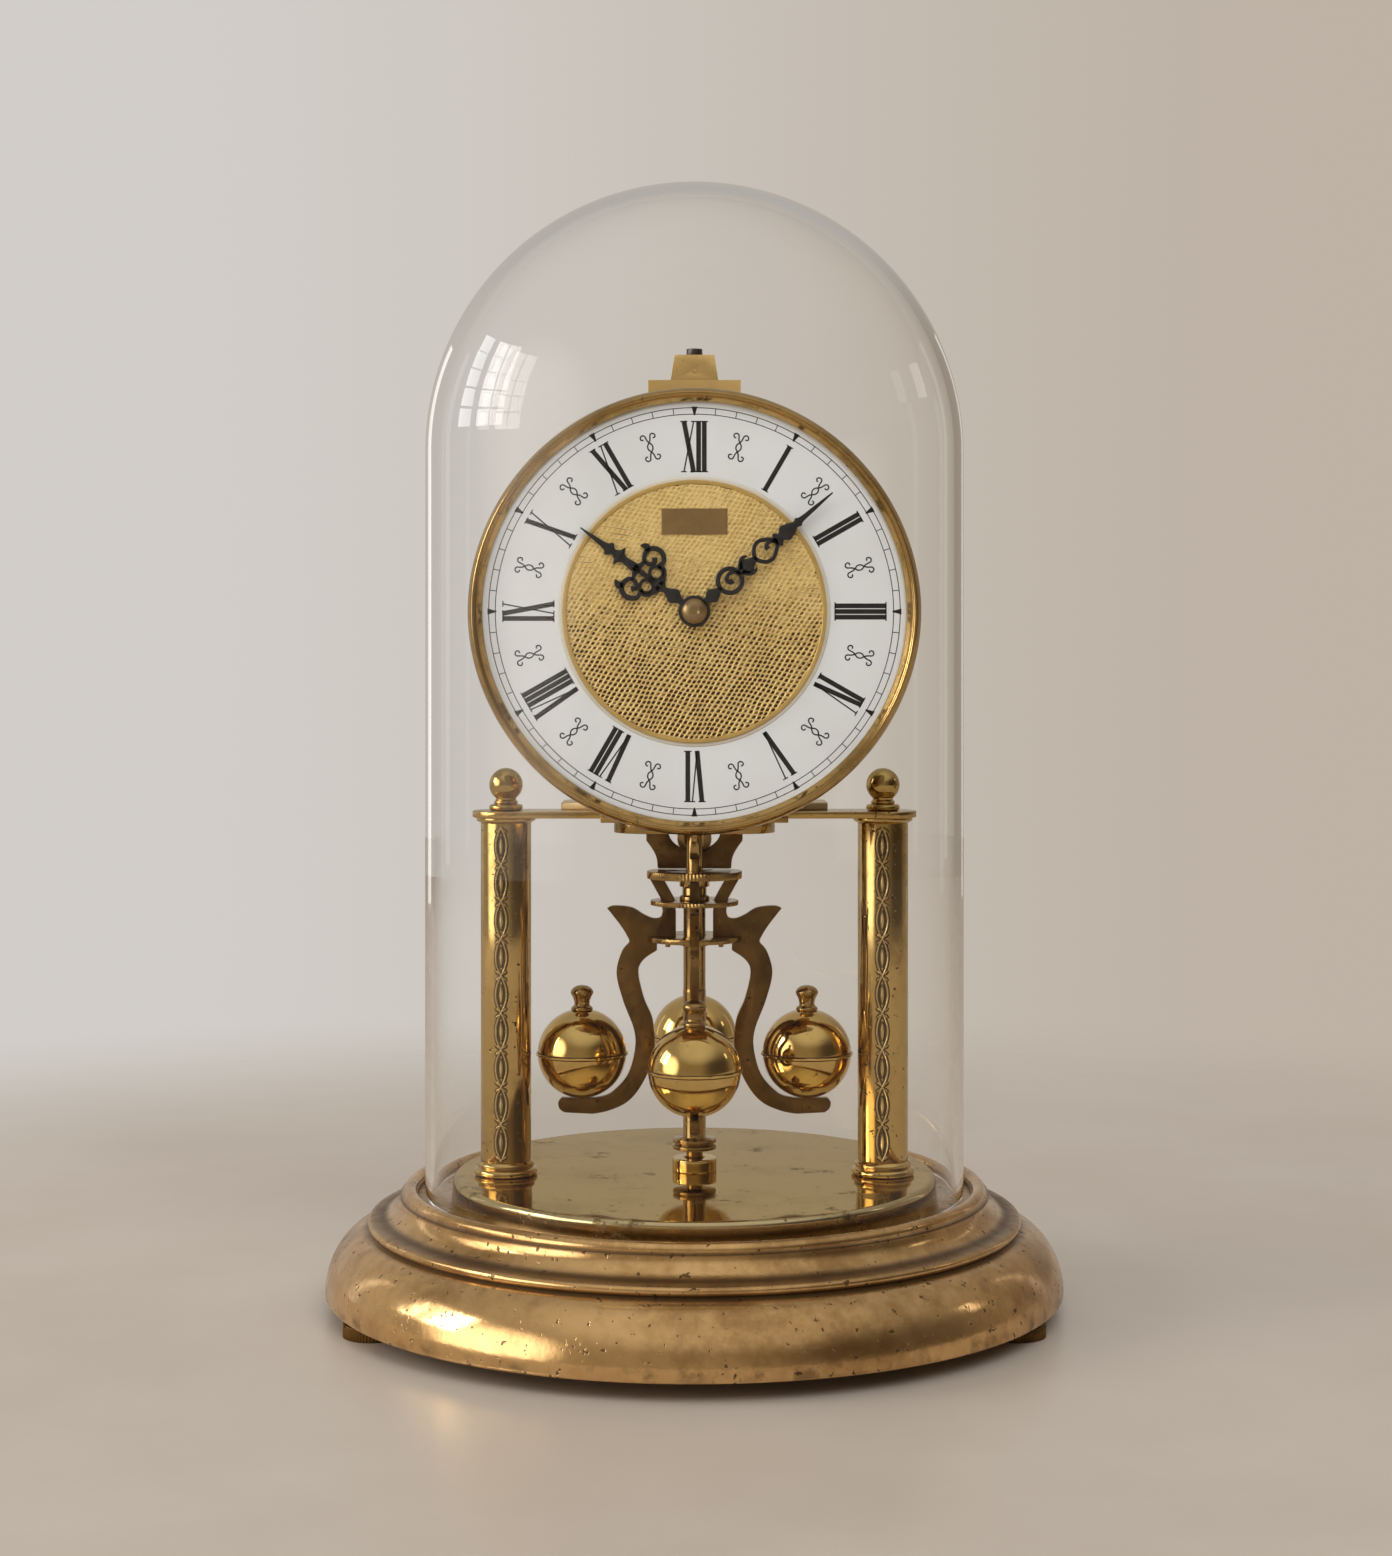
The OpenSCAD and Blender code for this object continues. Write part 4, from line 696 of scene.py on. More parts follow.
def strip(form, path, section, place, closed=False):
    """Draws a section along a path of points with a width; place says where a spot of the surface lies."""
    rows = []
    count = len(path)
    for i, point in enumerate(path):
        before = path[i - 1] if closed or i else path[i]
        after = path[(i + 1) % count] if closed or i < count - 1 else path[i]
        ahead = (after.xy - before.xy).normalized()
        across = Vector((ahead.y, -ahead.x)) * point.z / 2
        rows.append([form.verts.new(place(point.x + across.x * side, point.y + across.y * side, lift))
                     for side, lift in section])
    pairs = list(zip(rows, rows[1:]))
    if closed:
        pairs.append((rows[-1], rows[0]))
    width = len(section)
    for low, high in pairs:
        for i in range(width):
            form.faces.new((low[i], low[(i + 1) % width], high[(i + 1) % width], high[i]))
    if not closed:
        form.faces.new(rows[0])
        form.faces.new(rows[-1])


LINK = 10.2
LINKS = 9
CHAIN_Z = 41.3
CHAIN_TURN = math.radians(-6.4)
WAVE_OUT, WAVE_W, WAVE_STEPS = 1.5, 0.56, 16
STRAND_SHADE_W = 0.72


def on_tube(across, height, lift):
    """A spot on the round of a tube whose axis is the origin, seen from the front."""
    angle = across / PILLAR_R + CHAIN_TURN
    radius = PILLAR_R + lift
    return Vector((radius * math.sin(angle), -radius * math.cos(angle), height)) * MM


ROPE = [(-1, 0.0), (-0.75, 0.22), (-0.2, 0.36), (0.2, 0.36), (0.75, 0.22), (1, 0.0)]
LEAF = [(-1, 0.0), (-0.8, 0.16), (0, 0.38), (0.8, 0.16), (1, 0.0)]
SHADE = [(-1, -0.02), (-1, 0.03), (-0.5, 0.09), (0.5, 0.09), (1, 0.03), (1, -0.02)]


def grown(path, more):
    return [Vector((point.x, point.y, point.z + more)) for point in path]


strands = []
for side in (-1, 1):
    wave = []
    for i in range(WAVE_STEPS + 1):
        out = math.sin(math.pi * i / WAVE_STEPS)
        wave.append(Vector((side * WAVE_OUT * out ** 0.9, LINK * i / WAVE_STEPS, WAVE_W)))
    strands.append((wave, ROPE))
    for end, tip in ((0.0, 1.0), (LINK, -1.0)):
        barb = [(side * 0.5, end + tip * 0.5, 0.35), (side * 1.05, end + tip * 0.95, 0.62),
                (side * 1.65, end + tip * 1.5, 0.2)]
        strands.append((smooth(barb, 4), LEAF))
leaf = [(0, 2.3, 0.15), (0, 3.6, 0.75), (0, LINK / 2, 1.05), (0, LINK - 3.6, 0.75), (0, LINK - 2.3, 0.15)]
strands.append((smooth(leaf, 4), LEAF))
link, outline = bmesh.new(), bmesh.new()
for path, section in strands:
    strip(link, path, section, on_tube)
    # Each strand lies on a wider dark copy: painted shade beside it.
    strip(outline, grown(path, STRAND_SHADE_W), SHADE, on_tube)
link_mesh = to_mesh(link, "chain link")
outline_mesh = to_mesh(outline, "chain outline")
for side, word in SIDES:
    first = Vector((side * PILLAR_X, PILLAR_Y, CHAIN_Z)) * MM
    places = {"Count": LINKS, "First place": first, "Step": Vector((0, 0, LINK)) * MM}
    mesh = repeated(along_line, link_mesh, **places, Finish=chain_brass)
    add_piece("pillar_chain_" + word, mesh, None)
    mesh = repeated(along_line, outline_mesh, **places, Finish=strand_shade_and_seam_brass)
    add_piece("pillar_chain_outline_" + word, mesh, None)
print("chain links on each pillar:", LINKS)

# %% [markdown]
# Pendulum. Four brass balls, each pressed from two halves whose seam shows as a thin band, sit on the lyre
# arms and are held by waisted nuts. They give the pendulum its weight far from the axis, so that it turns
# slowly.

# %% Balls, nuts and stem
BALL_R = 12.4
BALL_RING = 31.5
BALL_Z = 69.3
SPOT_R = 3.4
SEAM_H = 0.22
STUD_R, STUD_LOW, STUD_TOP = 0.8, -15.3, -12.2
spot_z = math.sqrt(BALL_R ** 2 - SPOT_R ** 2)
spot_angle = math.degrees(math.acos(SPOT_R / BALL_R))
ball = arc((0, 0), BALL_R, BALL_R, -90, -1.8, 30)
ball += [(BALL_R + 0.32, -0.36), (BALL_R + 0.5, -0.2), (BALL_R + 0.5, 0.2), (BALL_R + 0.32, 0.36)]
ball += arc((0, 0), BALL_R, BALL_R, 1.8, spot_angle, 26) + [(0, spot_z)]
nut = [(0, 0), (2.9, 0), (3.1, 0.5), (2.9, 1), (2.15, 1.5), (2.15, 2.4), (2.5, 3.6), (3.2, 4.9), (3.2, 5.4),
       (2.7, 6.2), (1.6, 6.9), (0, 7.2)]
balls, nuts, seams = bmesh.new(), bmesh.new(), bmesh.new()
for angle in (0, 90, 180, 270):
    spot = on_ring(BALL_RING, angle, BALL_Z)
    turn(balls, ball, spot, 96)
    for low in (-0.6, 0.38):
        turn(seams, hoop(BALL_R - 0.2, low, BALL_R + 0.06, low + SEAM_H), spot, 72, closed=True)
    turn(nuts, eased(nut, 0.35), (spot[0], spot[1], BALL_Z + spot_z), 48)
    turn(nuts, hoop(0, STUD_LOW, STUD_R, STUD_TOP), spot, 20)
add_piece("balls_pressed", to_mesh(balls, "balls", 25), polished_brass, ["balls"])
add_piece("ball_nuts_turned", to_mesh(nuts, "ball nuts"), disc_brass, ["ball_nuts"])
seam_mesh = to_mesh(seams, "ball seams")
add_piece("ball_seams", seam_mesh, strand_shade_and_seam_brass, body=body_of_node["balls"])
FLANGE_Z = 42.4
LOWER_Z = 100.8
MIDDLE_TOP = 112.1
STEM_R = 3.1
STEM_LOW, STEM_TOP = 38.2, 115.8
stem = [(0, STEM_LOW), (2.3, STEM_LOW), (2.3, FLANGE_Z), (6.1, FLANGE_Z + 0.3), (6.1, FLANGE_Z + 1.4),
        (5.3, FLANGE_Z + 1.6), (5.3, FLANGE_Z + 1.9), (6.1, FLANGE_Z + 2.1), (6.1, FLANGE_Z + 3.2),
        (3.2, FLANGE_Z + 3.5), (3.2, LOWER_Z - 14), (STEM_R, LOWER_Z - 13.5), (STEM_R, LOWER_Z - 1.4),
        (3.9, LOWER_Z - 1.4), (3.9, LOWER_Z), (STEM_R, LOWER_Z), (STEM_R, MIDDLE_TOP), (4.2, MIDDLE_TOP),
        (4.2, MIDDLE_TOP + 1.2), (3.4, MIDDLE_TOP + 1.5), (3.4, STEM_TOP), (0, STEM_TOP)]
turned_piece("pendulum_stem_turned", eased(stem, 0.25), disc_brass, ["pendulum_stem"], steps=64)
print("balls hang at", BALL_Z, "mm")

# %% [markdown]
# Flat and sawn pieces. Arms, plates, discs and blocks are cut from sheet or bar. Their shapes are right
# already, but a real edge is never perfectly sharp and catches a line of light. A copy of each is merged,
# bevelled by a hair and shaded smooth, so that its edges shine.


# %% Softened edges
def softened(node, finish, width):
    form = bmesh.new()
    form.from_mesh(frame["nodes"][node].data)
    bmesh.ops.remove_doubles(form, verts=form.verts, dist=0.002 * MM)
    bmesh.ops.dissolve_limit(form, angle_limit=math.radians(1.0), verts=form.verts, edges=form.edges)
    mesh = bpy.data.meshes.new(node + " softened")
    form.to_mesh(mesh)
    form.free()
    mesh.shade_smooth()
    maker = put("maker", mesh)
    bevel = maker.modifiers.new("edge", "BEVEL")
    bevel.width = width * MM
    bevel.segments = 2
    bevel.limit_method = "ANGLE"
    bevel.angle_limit = math.radians(35)
    bevel.use_clamp_overlap = True
    bevel.harden_normals = True
    return add_piece(node + "_softened", modified(maker, 38.0), finish, [node])


soft_pieces = (
    (brown_and_shade_brass, 0.3, ("arm_left", "arm_right", "arm_front", "arm_back", "guard_bracket")),
    (aged_brass, 0.25, ("platform",)),
    (disc_brass, 0.25, ("under_plate", "hanger")),
    (disc_brass, 0.06, ("middle_disc", "lower_disc", "regulating_disc")),
    (seat_brass, 0.25, ("movement_seat",)),
    (plate_brass, 0.25, ("front_plate", "back_plate", "suspension_bracket", "plate_posts")),
    (plate_brass, 0.15, ("upper_block", "lower_block", "suspension_fork", "lock_screw")),
    # The feet get this dark brass partly for their own brown tone, partly as painted shade under the base.
    (brown_and_shade_brass, 0.06, ("levelling_foot_left", "levelling_foot_right", "levelling_foot_rear")),
    (blued_steel, 0.2, ("beat_screw",)),
)
for finish, width, nodes in soft_pieces:
    for node in nodes:
        softened(node, finish, width)
print("softened pieces:", sum(len(nodes) for _, _, nodes in soft_pieces))

# %% [markdown]
# Dial. A thin white disc with a pressed edge round the gilt centre. The figures stand a few hundredths of a
# millimetre proud of the enamel, as thick printing ink does, so they are real and thin solids.

# %% Dial and gilt ground
DIAL_Y = -38.0
AXIS_Z = 192.0
DIAL_R = 58.0
DIAL_T = 0.8
PIN_X, PIN_Z, PIN_R, PIN_L = 24, 30, 1.2, 6.5
WHITE_R = 55.55
GILT_R = 34.85
DIAL_HOLE = 2.8
DIAL_AT = (0, DIAL_Y, AXIS_Z)
DIAL_TURN = {"at": DIAL_AT, "steps": 180, "to_front": True, "closed": True}
dial_face = [(DIAL_HOLE, -DIAL_T), (DIAL_R, -DIAL_T), (DIAL_R, 0), (GILT_R + 1.3, 0), (GILT_R + 0.9, -0.12),
             (DIAL_HOLE, -0.12)]
form = bmesh.new()
turn(form, eased(dial_face, 0.12, True), **DIAL_TURN)
for x in (-PIN_X, PIN_X):
    for z in (-PIN_Z, PIN_Z):
        turn(form, hoop(0, -PIN_L, PIN_R, -DIAL_T / 2), (x, DIAL_Y, AXIS_Z + z), 24, to_front=True)
add_piece("dial_enamel", to_mesh(form, "dial"), enamel, ["dial"])
cream_edge = [(GILT_R, -0.1), (GILT_R + 1.05, -0.1), (GILT_R + 0.85, 0.22), (GILT_R, 0.26)]
turned_piece("dial_cream_edge", eased(cream_edge, 0.08, True), cream, slot="white_enamel", **DIAL_TURN)
gilt_disc = [(DIAL_HOLE, -0.05), (GILT_R, -0.05), (GILT_R, 0.55), (GILT_R - 0.15, 0.8), (GILT_R - 0.95, 0.8),
             (GILT_R - 1.15, 0.6), (GILT_R - 1.15, 0.1), (DIAL_HOLE, 0.1)]
turned_piece("gilt_disc", eased(gilt_disc, 0.08, True), gilt_ground, ["dial_centre"], **DIAL_TURN)
print("dial is", 2 * DIAL_R, "mm wide")

# %% [markdown]
# Embossed centre. The gilt disc was pressed with slanting rows of small pits between bright ridges. A third
# tree lays a slanted lattice of points, drops those beyond the disc and over the hole, and sets one pit on
# each of the rest. The rows waver a little, and the pits get shallower towards the top, so the painted
# shade in them leaves the upper half lighter than the lower.


# %% Pits of the gilt disc
def numbers(tree, operation, first, second):
    return add_node(tree, "ShaderNodeMath", [(0, first), (1, second)], operation=operation)


def tree_lattice():
    inputs = (("Rows", "Int"), ("Size", "Float"), ("Across", "Vector"), ("Along", "Vector"),
              ("Waver", "Float"), ("Outer radius", "Float"), ("Inner radius", "Float"),
              ("Shallower from", "Float"), ("Shallower to", "Float"), ("Centre", "Vector"), ("Finish", "Material"))
    tree, give, take = new_tree("pits on a slanted lattice", inputs)
    links = [("Size X", give["Size"]), ("Size Y", give["Size"]), ("Vertices X", give["Rows"]),
             ("Vertices Y", give["Rows"])]
    grid = add_node(tree, "GeometryNodeMeshGrid", links)
    position = add_node(tree, "GeometryNodeInputPosition")
    parts = add_node(tree, "ShaderNodeSeparateXYZ", [(0, position)]).node.outputs
    first = vectors(tree, "SCALE", give["Across"], parts[0])
    slanted = vectors(tree, "ADD", first, vectors(tree, "SCALE", give["Along"], parts[1]))
    drift = add_node(tree, "ShaderNodeTexNoise", [("Vector", slanted), ("Scale", 110.0), ("Detail", 1.0)])
    middle = vectors(tree, "SUBTRACT", drift.node.outputs["Color"], (0.5, 0.5, 0.5))
    waver = vectors(tree, "SCALE", middle, give["Waver"])
    spot = vectors(tree, "ADD", slanted, vectors(tree, "MULTIPLY", waver, (1.0, 0.0, 1.0)))
    laid = add_node(tree, "GeometryNodeSetPosition", [("Geometry", grid), ("Position", spot)])
    out = add_node(tree, "ShaderNodeVectorMath", [(0, position)], operation="LENGTH").node.outputs["Value"]
    outside = numbers(tree, "GREATER_THAN", out, give["Outer radius"])
    inside = numbers(tree, "LESS_THAN", out, give["Inner radius"])
    links = [("Geometry", laid), ("Selection", numbers(tree, "ADD", outside, inside))]
    kept = add_node(tree, "GeometryNodeDeleteGeometry", links)
    # Pits get shallower towards the top, so the painted shade in them is lighter there.
    links = [("Value", parts[2]), ("From Min", give["Shallower from"]), ("From Max", give["Shallower to"]),
             ("To Min", 1.0), ("To Max", 0.3)]
    soft = add_node(tree, "ShaderNodeMapRange", links, interpolation_type="SMOOTHSTEP")
    uneven = add_node(tree, "FunctionNodeRandomValue", [("Seed", 4), (2, 0.65), (3, 1.15)]).node.outputs[1]
    deep = numbers(tree, "MULTIPLY", soft, uneven)
    scale = add_node(tree, "ShaderNodeCombineXYZ", [(0, 1.0), (1, deep), (2, 1.0)])
    links = [("Points", kept), ("Instance", give[0]), ("Scale", scale)]
    copies = add_node(tree, "GeometryNodeInstanceOnPoints", links)
    moved = add_node(tree, "GeometryNodeTransform", [("Geometry", copies), ("Translation", give["Centre"])])
    return finish_tree(tree, give, take, moved)


RIDGE, PIT_DEPTH = 0.62, 0.32
PIT_PITCH = 1.33
PIT_ROWS = 59
PIT_HALF = PIT_PITCH / 2 + 0.03
PIT_CORNERS = ((1, 0), (1, 1), (0, 1), (-1, 1), (-1, 0), (-1, -1), (0, -1), (1, -1))
PIT_STEPS = ((1.0, 0.0, 0.0, 0.16), (0.78, 0.06, 0.05, 0.20), (0.52, 0.42, 0.40, 0.42))
ROW_SLANT, COLUMN_SLANT = math.radians(-8), math.radians(58)
gilt = gilt_finish(DIAL_Y - RIDGE, DIAL_Y - RIDGE + PIT_DEPTH)
row_across = Vector((math.cos(ROW_SLANT), 0.0, math.sin(ROW_SLANT)))
row_along = Vector((math.cos(COLUMN_SLANT), 0.0, math.sin(COLUMN_SLANT)))
pit = bmesh.new()
pit_rings = []
for reach, corner_depth, side_depth, end_depth in PIT_STEPS:
    pit_ring = []
    for turn_x, turn_z in PIT_CORNERS:
        round_in = 0.86 if turn_x and turn_z and reach < 1.0 else 1.0
        spot = (row_across * turn_x + row_along * turn_z) * PIT_HALF * reach * round_in
        depth = corner_depth if turn_x and turn_z else side_depth if turn_x else end_depth
        pit_ring.append(pit.verts.new((spot + Vector((0, depth, 0))) * MM))
    pit_rings.append(pit_ring)
for wide, narrow in zip(pit_rings, pit_rings[1:]):
    for k in range(8):
        pit.faces.new((wide[k], wide[(k + 1) % 8], narrow[(k + 1) % 8], narrow[k]))
pit.faces.new(pit_rings[-1])
for face in pit.faces:
    face.normal_update()
    if face.normal.y > 0:
        face.normal_flip()
pit_mesh = bpy.data.meshes.new("pit")
pit.to_mesh(pit_mesh)
pit.free()
mesh = repeated(tree_lattice(), pit_mesh, 80.0, **{
    "Rows": PIT_ROWS, "Size": PIT_PITCH * (PIT_ROWS - 1) * MM, "Across": row_across, "Along": row_along,
    "Waver": 2.2 * MM, "Outer radius": (GILT_R - 0.85) * MM, "Inner radius": 4.0 * MM,
    "Shallower from": -24 * MM, "Shallower to": 17 * MM, "Centre": Vector((0, DIAL_Y - RIDGE, AXIS_Z)) * MM,
    "Finish": gilt})
add_piece("gilt_pits", mesh, None)
print("pit faces:", len(mesh.polygons))

# %% [markdown]
# Bezel and bare plate. A ring of bent brass holds the dial, with a sloped outer edge and a bevel inside.
# The small plate above the middle is left bare, with a bevelled edge and a soft brushed face.

# %% Bezel and bare plate
BEZEL_R = 59.25
BEZEL_IN = 58.05
bezel = [(BEZEL_IN, -1.6), (BEZEL_R, -1.6), (BEZEL_R, 0.6), (58.75, 1.9), (BEZEL_IN, 3), (57.45, 3.0),
         (57.3, 2.8), (57.05, 2.8), (WHITE_R, 0.9), (WHITE_R, 0.05), (BEZEL_IN, 0.05)]
turned_piece("bezel_ring", eased(bezel, 0.22, True), bezel_brass, ["bezel"], **{**DIAL_TURN, "steps": 192})
PLATE_W, PLATE_H, PLATE_UP = 17.4, 6.9, 23.8


def on_dial(angle):
    """Gives the place of a spot that lies across and out from the middle, at an angle from twelve."""
    sine, cosine = math.sin(math.radians(angle)), math.cos(math.radians(angle))

    def place(across, out, lift):
        x = across * cosine + out * sine
        z = -across * sine + out * cosine
        return Vector((x, DIAL_Y - lift, AXIS_Z + z)) * MM
    return place


form = bmesh.new()
path = [Vector((0, PLATE_UP - PLATE_H / 2, PLATE_W)), Vector((0, PLATE_UP + PLATE_H / 2, PLATE_W))]
edge = 1 - 0.5 / PLATE_W
strip(form, path, [(-1, 0.2), (-1, 0.72), (-edge, 0.82), (edge, 0.82), (1, 0.72), (1, 0.2)], on_dial(0))
add_piece("dial_bare_plate", to_mesh(form, "bare plate", 20), plate_finish)
print("bezel is", 2 * BEZEL_R, "mm wide")

# %% [markdown]
# Figures. The numerals stand on the middle of the dial with their heads outwards. Each is a few straight
# strokes, thick downwards and thin upwards, with hairline serifs. A font would be quicker, but few have such
# tall and narrow figures, and strokes keep every height and thickness as a plain number.

# %% Numerals
FOOT, HEAD = 36.9, 50.5
THICK, THIN, SERIF = 1.26, 0.36, 0.3
INK = [(-1, -0.03), (-1, 0.035), (1, 0.035), (1, -0.03)]
# A letter's width, its strokes as head, foot and thickness, then its serifs below and above.
LETTERS = {
    "I": (1.5, [(0, 0, THICK)], [(0, 2.0)], [(0, 2.0)]),
    "V": (3.5, [(-1.25, 0.05, THICK), (1.3, 0.05, THIN)], [], [(-1.25, 1.9), (1.3, 1.5)]),
    "X": (3.7, [(-1.3, 1.3, THICK), (1.3, -1.3, THIN)], [(1.3, 1.9), (-1.3, 1.5)], [(-1.3, 1.9), (1.3, 1.5)]),
}
NUMERALS = ("XII", "I", "II", "III", "IV", "V", "VI", "VII", "VIII", "IX", "X", "XI")


def straight(form, start, end, width, place):
    strip(form, [Vector((*start, width)), Vector((*end, width))], INK, place)


form = bmesh.new()
for hour, word in enumerate(NUMERALS):
    place = on_dial(30 * hour)
    left = -sum(LETTERS[letter][0] for letter in word) / 2
    for letter in word:
        width, strokes, feet, heads = LETTERS[letter]
        middle = left + width / 2
        for head, foot, thick in strokes:
            straight(form, (middle + foot, FOOT), (middle + head, HEAD), thick, place)
        for serifs, out in ((feet, FOOT + SERIF / 2), (heads, HEAD - SERIF / 2)):
            for across, length in serifs:
                spot = middle + across
                straight(form, (spot - length / 2, out), (spot + length / 2, out), SERIF, place)
        left += width
add_piece("dial_numerals", to_mesh(form, "numerals", 20), ink)
print("numerals:", " ".join(NUMERALS))

# %% [markdown]
# Minute track and ornaments. Two fine circles with sixty dividers make the track, a small wedge marks every
# five minutes, and between the numerals stand twelve little scrolls. One divider, one wedge and one scroll
# are drawn at the top of the dial, and the second tree turns them round its middle.

# %% Minute track and scrolls
TRACK_OUT, TRACK_IN = 54.0, 52.3
LINE = 0.21
SCROLL_OUT = 45.0
form = bmesh.new()
for radius in (TRACK_OUT, TRACK_IN):
    circle = hoop(radius - LINE / 2, -0.03, radius + LINE / 2, 0.03)
    turn(form, circle, **{**DIAL_TURN, "steps": 240})
add_piece("dial_track_circles", to_mesh(form, "track circles", 20), ink)


def at_top(across, out, lift):
    return Vector((across, -lift, out)) * MM


def round_dial(name, form, count, first=0.0):
    step = Vector((0.0, 2 * math.pi / count, 0.0))
    mesh = repeated(round_axis, to_mesh(form, name, 20), 20.0, **{
        "Count": count, "Turn": step, "First turn": step * first, "Centre": Vector(DIAL_AT) * MM,
        "Finish": ink})
    return add_piece(name, mesh, None)


form = bmesh.new()
straight(form, (0, TRACK_IN), (0, TRACK_OUT), LINE, at_top)
round_dial("dial_minute_marks", form, 60)
form = bmesh.new()
wedge = [(0, TRACK_IN - 0.3, 0.35), (0, TRACK_IN + 0.7, 0.85), (0, TRACK_OUT + 0.3, 1.6)]
strip(form, [Vector(point) for point in wedge], INK, at_top)
round_dial("dial_five_minute_wedges", form, 12)
half_scroll = [(-1.25, 2.35), (-1.62, 2.3), (-1.98, 2.62), (-1.85, 3.2), (-1.3, 3.5), (-0.75, 3.2),
               (-0.55, 2.5), (-0.35, 1.8), (0.1, 1.15), (0.62, 0.45)]
line = half_scroll + [(x, -y) for x, y in reversed(half_scroll)]
form = bmesh.new()
for side in (-1, 1):
    curl = [Vector((side * x, y + SCROLL_OUT, THIN)) for x, y in line]
    strip(form, smooth(curl, 4), INK, at_top)
round_dial("dial_scrolls", form, 12, 0.5)
print("dial print is done")

# %% [markdown]
# Hands. Black serpentine hands, sawn from thin sheet: leaves, rings with curls and long needles. Every part
# of a hand is one stroke with a changing width, given as across, along and width. The strokes are drawn as
# thin bars with a small bevel, and overlap into one hand.

# %% Hands and nut
MINUTE_ANGLE, HOUR_ANGLE = 49.2, 306.4
MINUTE_Y, HOUR_Y, NUT_Y = -40.7, -39.3, -41.3
HAND_T = 0.6
BOLD = 1.26


def ringed(centre, radius, width, start=0.0, end=360.0, steps=28):
    return [Vector((*point, width)) for point in arc(centre, radius, radius, start, end, steps)]


def mirrored(points):
    return [(-x, y, width) for x, y, width in points]


horn = [(0.3, 16.4, 1.2), (1.9, 17.6, 1.1), (2.4, 18.9, 0.8), (2.0, 20.0, 0.3)]
minute_strokes = [
    [(0, 3, 2.2), (0, 4.4, 1.5), (0, 6.2, 3.1), (0, 8.0, 1.7), (0, 9.3, 1.0)],
    [(0.2, 15.4, 0.9), (-1.1, 14.6, 0.85), (-1.5, 13.0, 0.8), (-0.7, 11.8, 0.85), (0.4, 12.1, 1.0),
     (0.5, 13.0, 1.3)],
    [(0, 15.2, 1.2), (0, 16.5, 2.4), (0, 17.3, 3.9), (0, 18.2, 4.4), (0, 19.2, 2.6), (0, 20.3, 1.7),
     (0, 21.6, 1.0)],
    horn, mirrored(horn),
    [(0, 28.3, 0.8), (-1.0, 26.8, 0.8), (-0.7, 25.5, 0.9), (0.3, 25.4, 1.3)],
    [(0, 27.6, 1.2), (0, 28.9, 3.3), (0, 30.0, 1.9), (0, 31.5, 3.5), (0, 33.6, 2.5), (0, 35.1, 1.5),
     (0, 36.1, 2.1), (0, 37.2, 1.2), (0, 42, 0.85), (0, 47.9, 0.3)],
]
minute_rings = [
    ringed((0, 12.3), 3.2, 1.0),
    smooth([(0, 21.2, 0.9), (2.4, 22.7, 0.85), (2.95, 24.8, 0.85), (1.7, 27.0, 0.85), (0, 28.5, 0.9),
            (-1.7, 27.0, 0.85), (-2.95, 24.8, 0.85), (-2.4, 22.7, 0.85)], 4, True),
]
scroll = [(0.3, 11.4, 1.2), (2.7, 11.9, 1.0), (4.2, 13.2, 0.95), (4.0, 14.6, 0.9), (5.8, 14.3, 1.0),
          (7.2, 15.6, 1.05), (7.5, 17.3, 1.1), (6.6, 19.0, 1.1), (4.9, 19.6, 1.05), (3.2, 18.8, 0.95),
          (2.9, 17.2, 0.9), (4.0, 16.2, 1.0), (5.2, 16.9, 1.3)]
barb = [(5.6, 19.2, 1.5), (6.2, 20.4, 1.5), (5.6, 21.8, 0.3)]
joining = [(3.0, 18.2, 0.9), (1.6, 18.6, 1.0), (0, 19.6, 1.3)]
hour_strokes = [
    [(0, 3.2, 2.2), (0, 4.8, 1.4), (0, 6.7, 3.3), (0, 8.8, 1.6), (0, 10.0, 1.4), (0, 11.2, 3.4),
     (0, 12.4, 1.6), (0, 15.0, 1.1), (0, 18.6, 1.2)],
    scroll, mirrored(scroll), barb, mirrored(barb), joining, mirrored(joining),
    [(0, 18.0, 1.8), (0, 20.0, 2.0), (0, 22.6, 1.5), (0, 23.9, 2.4), (0, 24.6, 4.4), (0, 25.4, 2.2),
     (0, 26.6, 1.4), (0, 27.9, 3.0), (0, 29.1, 1.5), (0, 32, 1.0), (0, 37.3, 0.3)],
]
hour_rings = [ringed((2.2, 14.1), 1.75, 0.75, steps=18), ringed((-2.2, 14.1), 1.75, 0.75, steps=18)]
BAR = [(-1, 0), (-1, HAND_T - 0.15), (-0.72, HAND_T), (0.72, HAND_T), (1, HAND_T - 0.15), (1, 0)]


def hand(name, node, angle, back_y, hub, strokes, rings):
    turned = on_dial(angle)

    def place(across, out, lift):
        return turned(across, out, lift) + Vector((0, back_y - DIAL_Y, 0)) * MM
    form = bmesh.new()
    bold = Vector((1.0, 1.0, BOLD))
    for stroke in strokes:
        strip(form, [point * bold for point in smooth(stroke, 5)], BAR, place)
    for ring in rings:
        open_ring = ring[:-1] if ring[0] == ring[-1] else ring
        strip(form, [point * bold for point in open_ring], BAR, place, True)
    boss = eased(hoop(hub[0], 0, hub[1], HAND_T), 0.15, True)
    turn(form, boss, (0, back_y, AXIS_Z), 48, to_front=True, closed=True)
    return add_piece(name, to_mesh(form, name, 30), black_paint, [node])


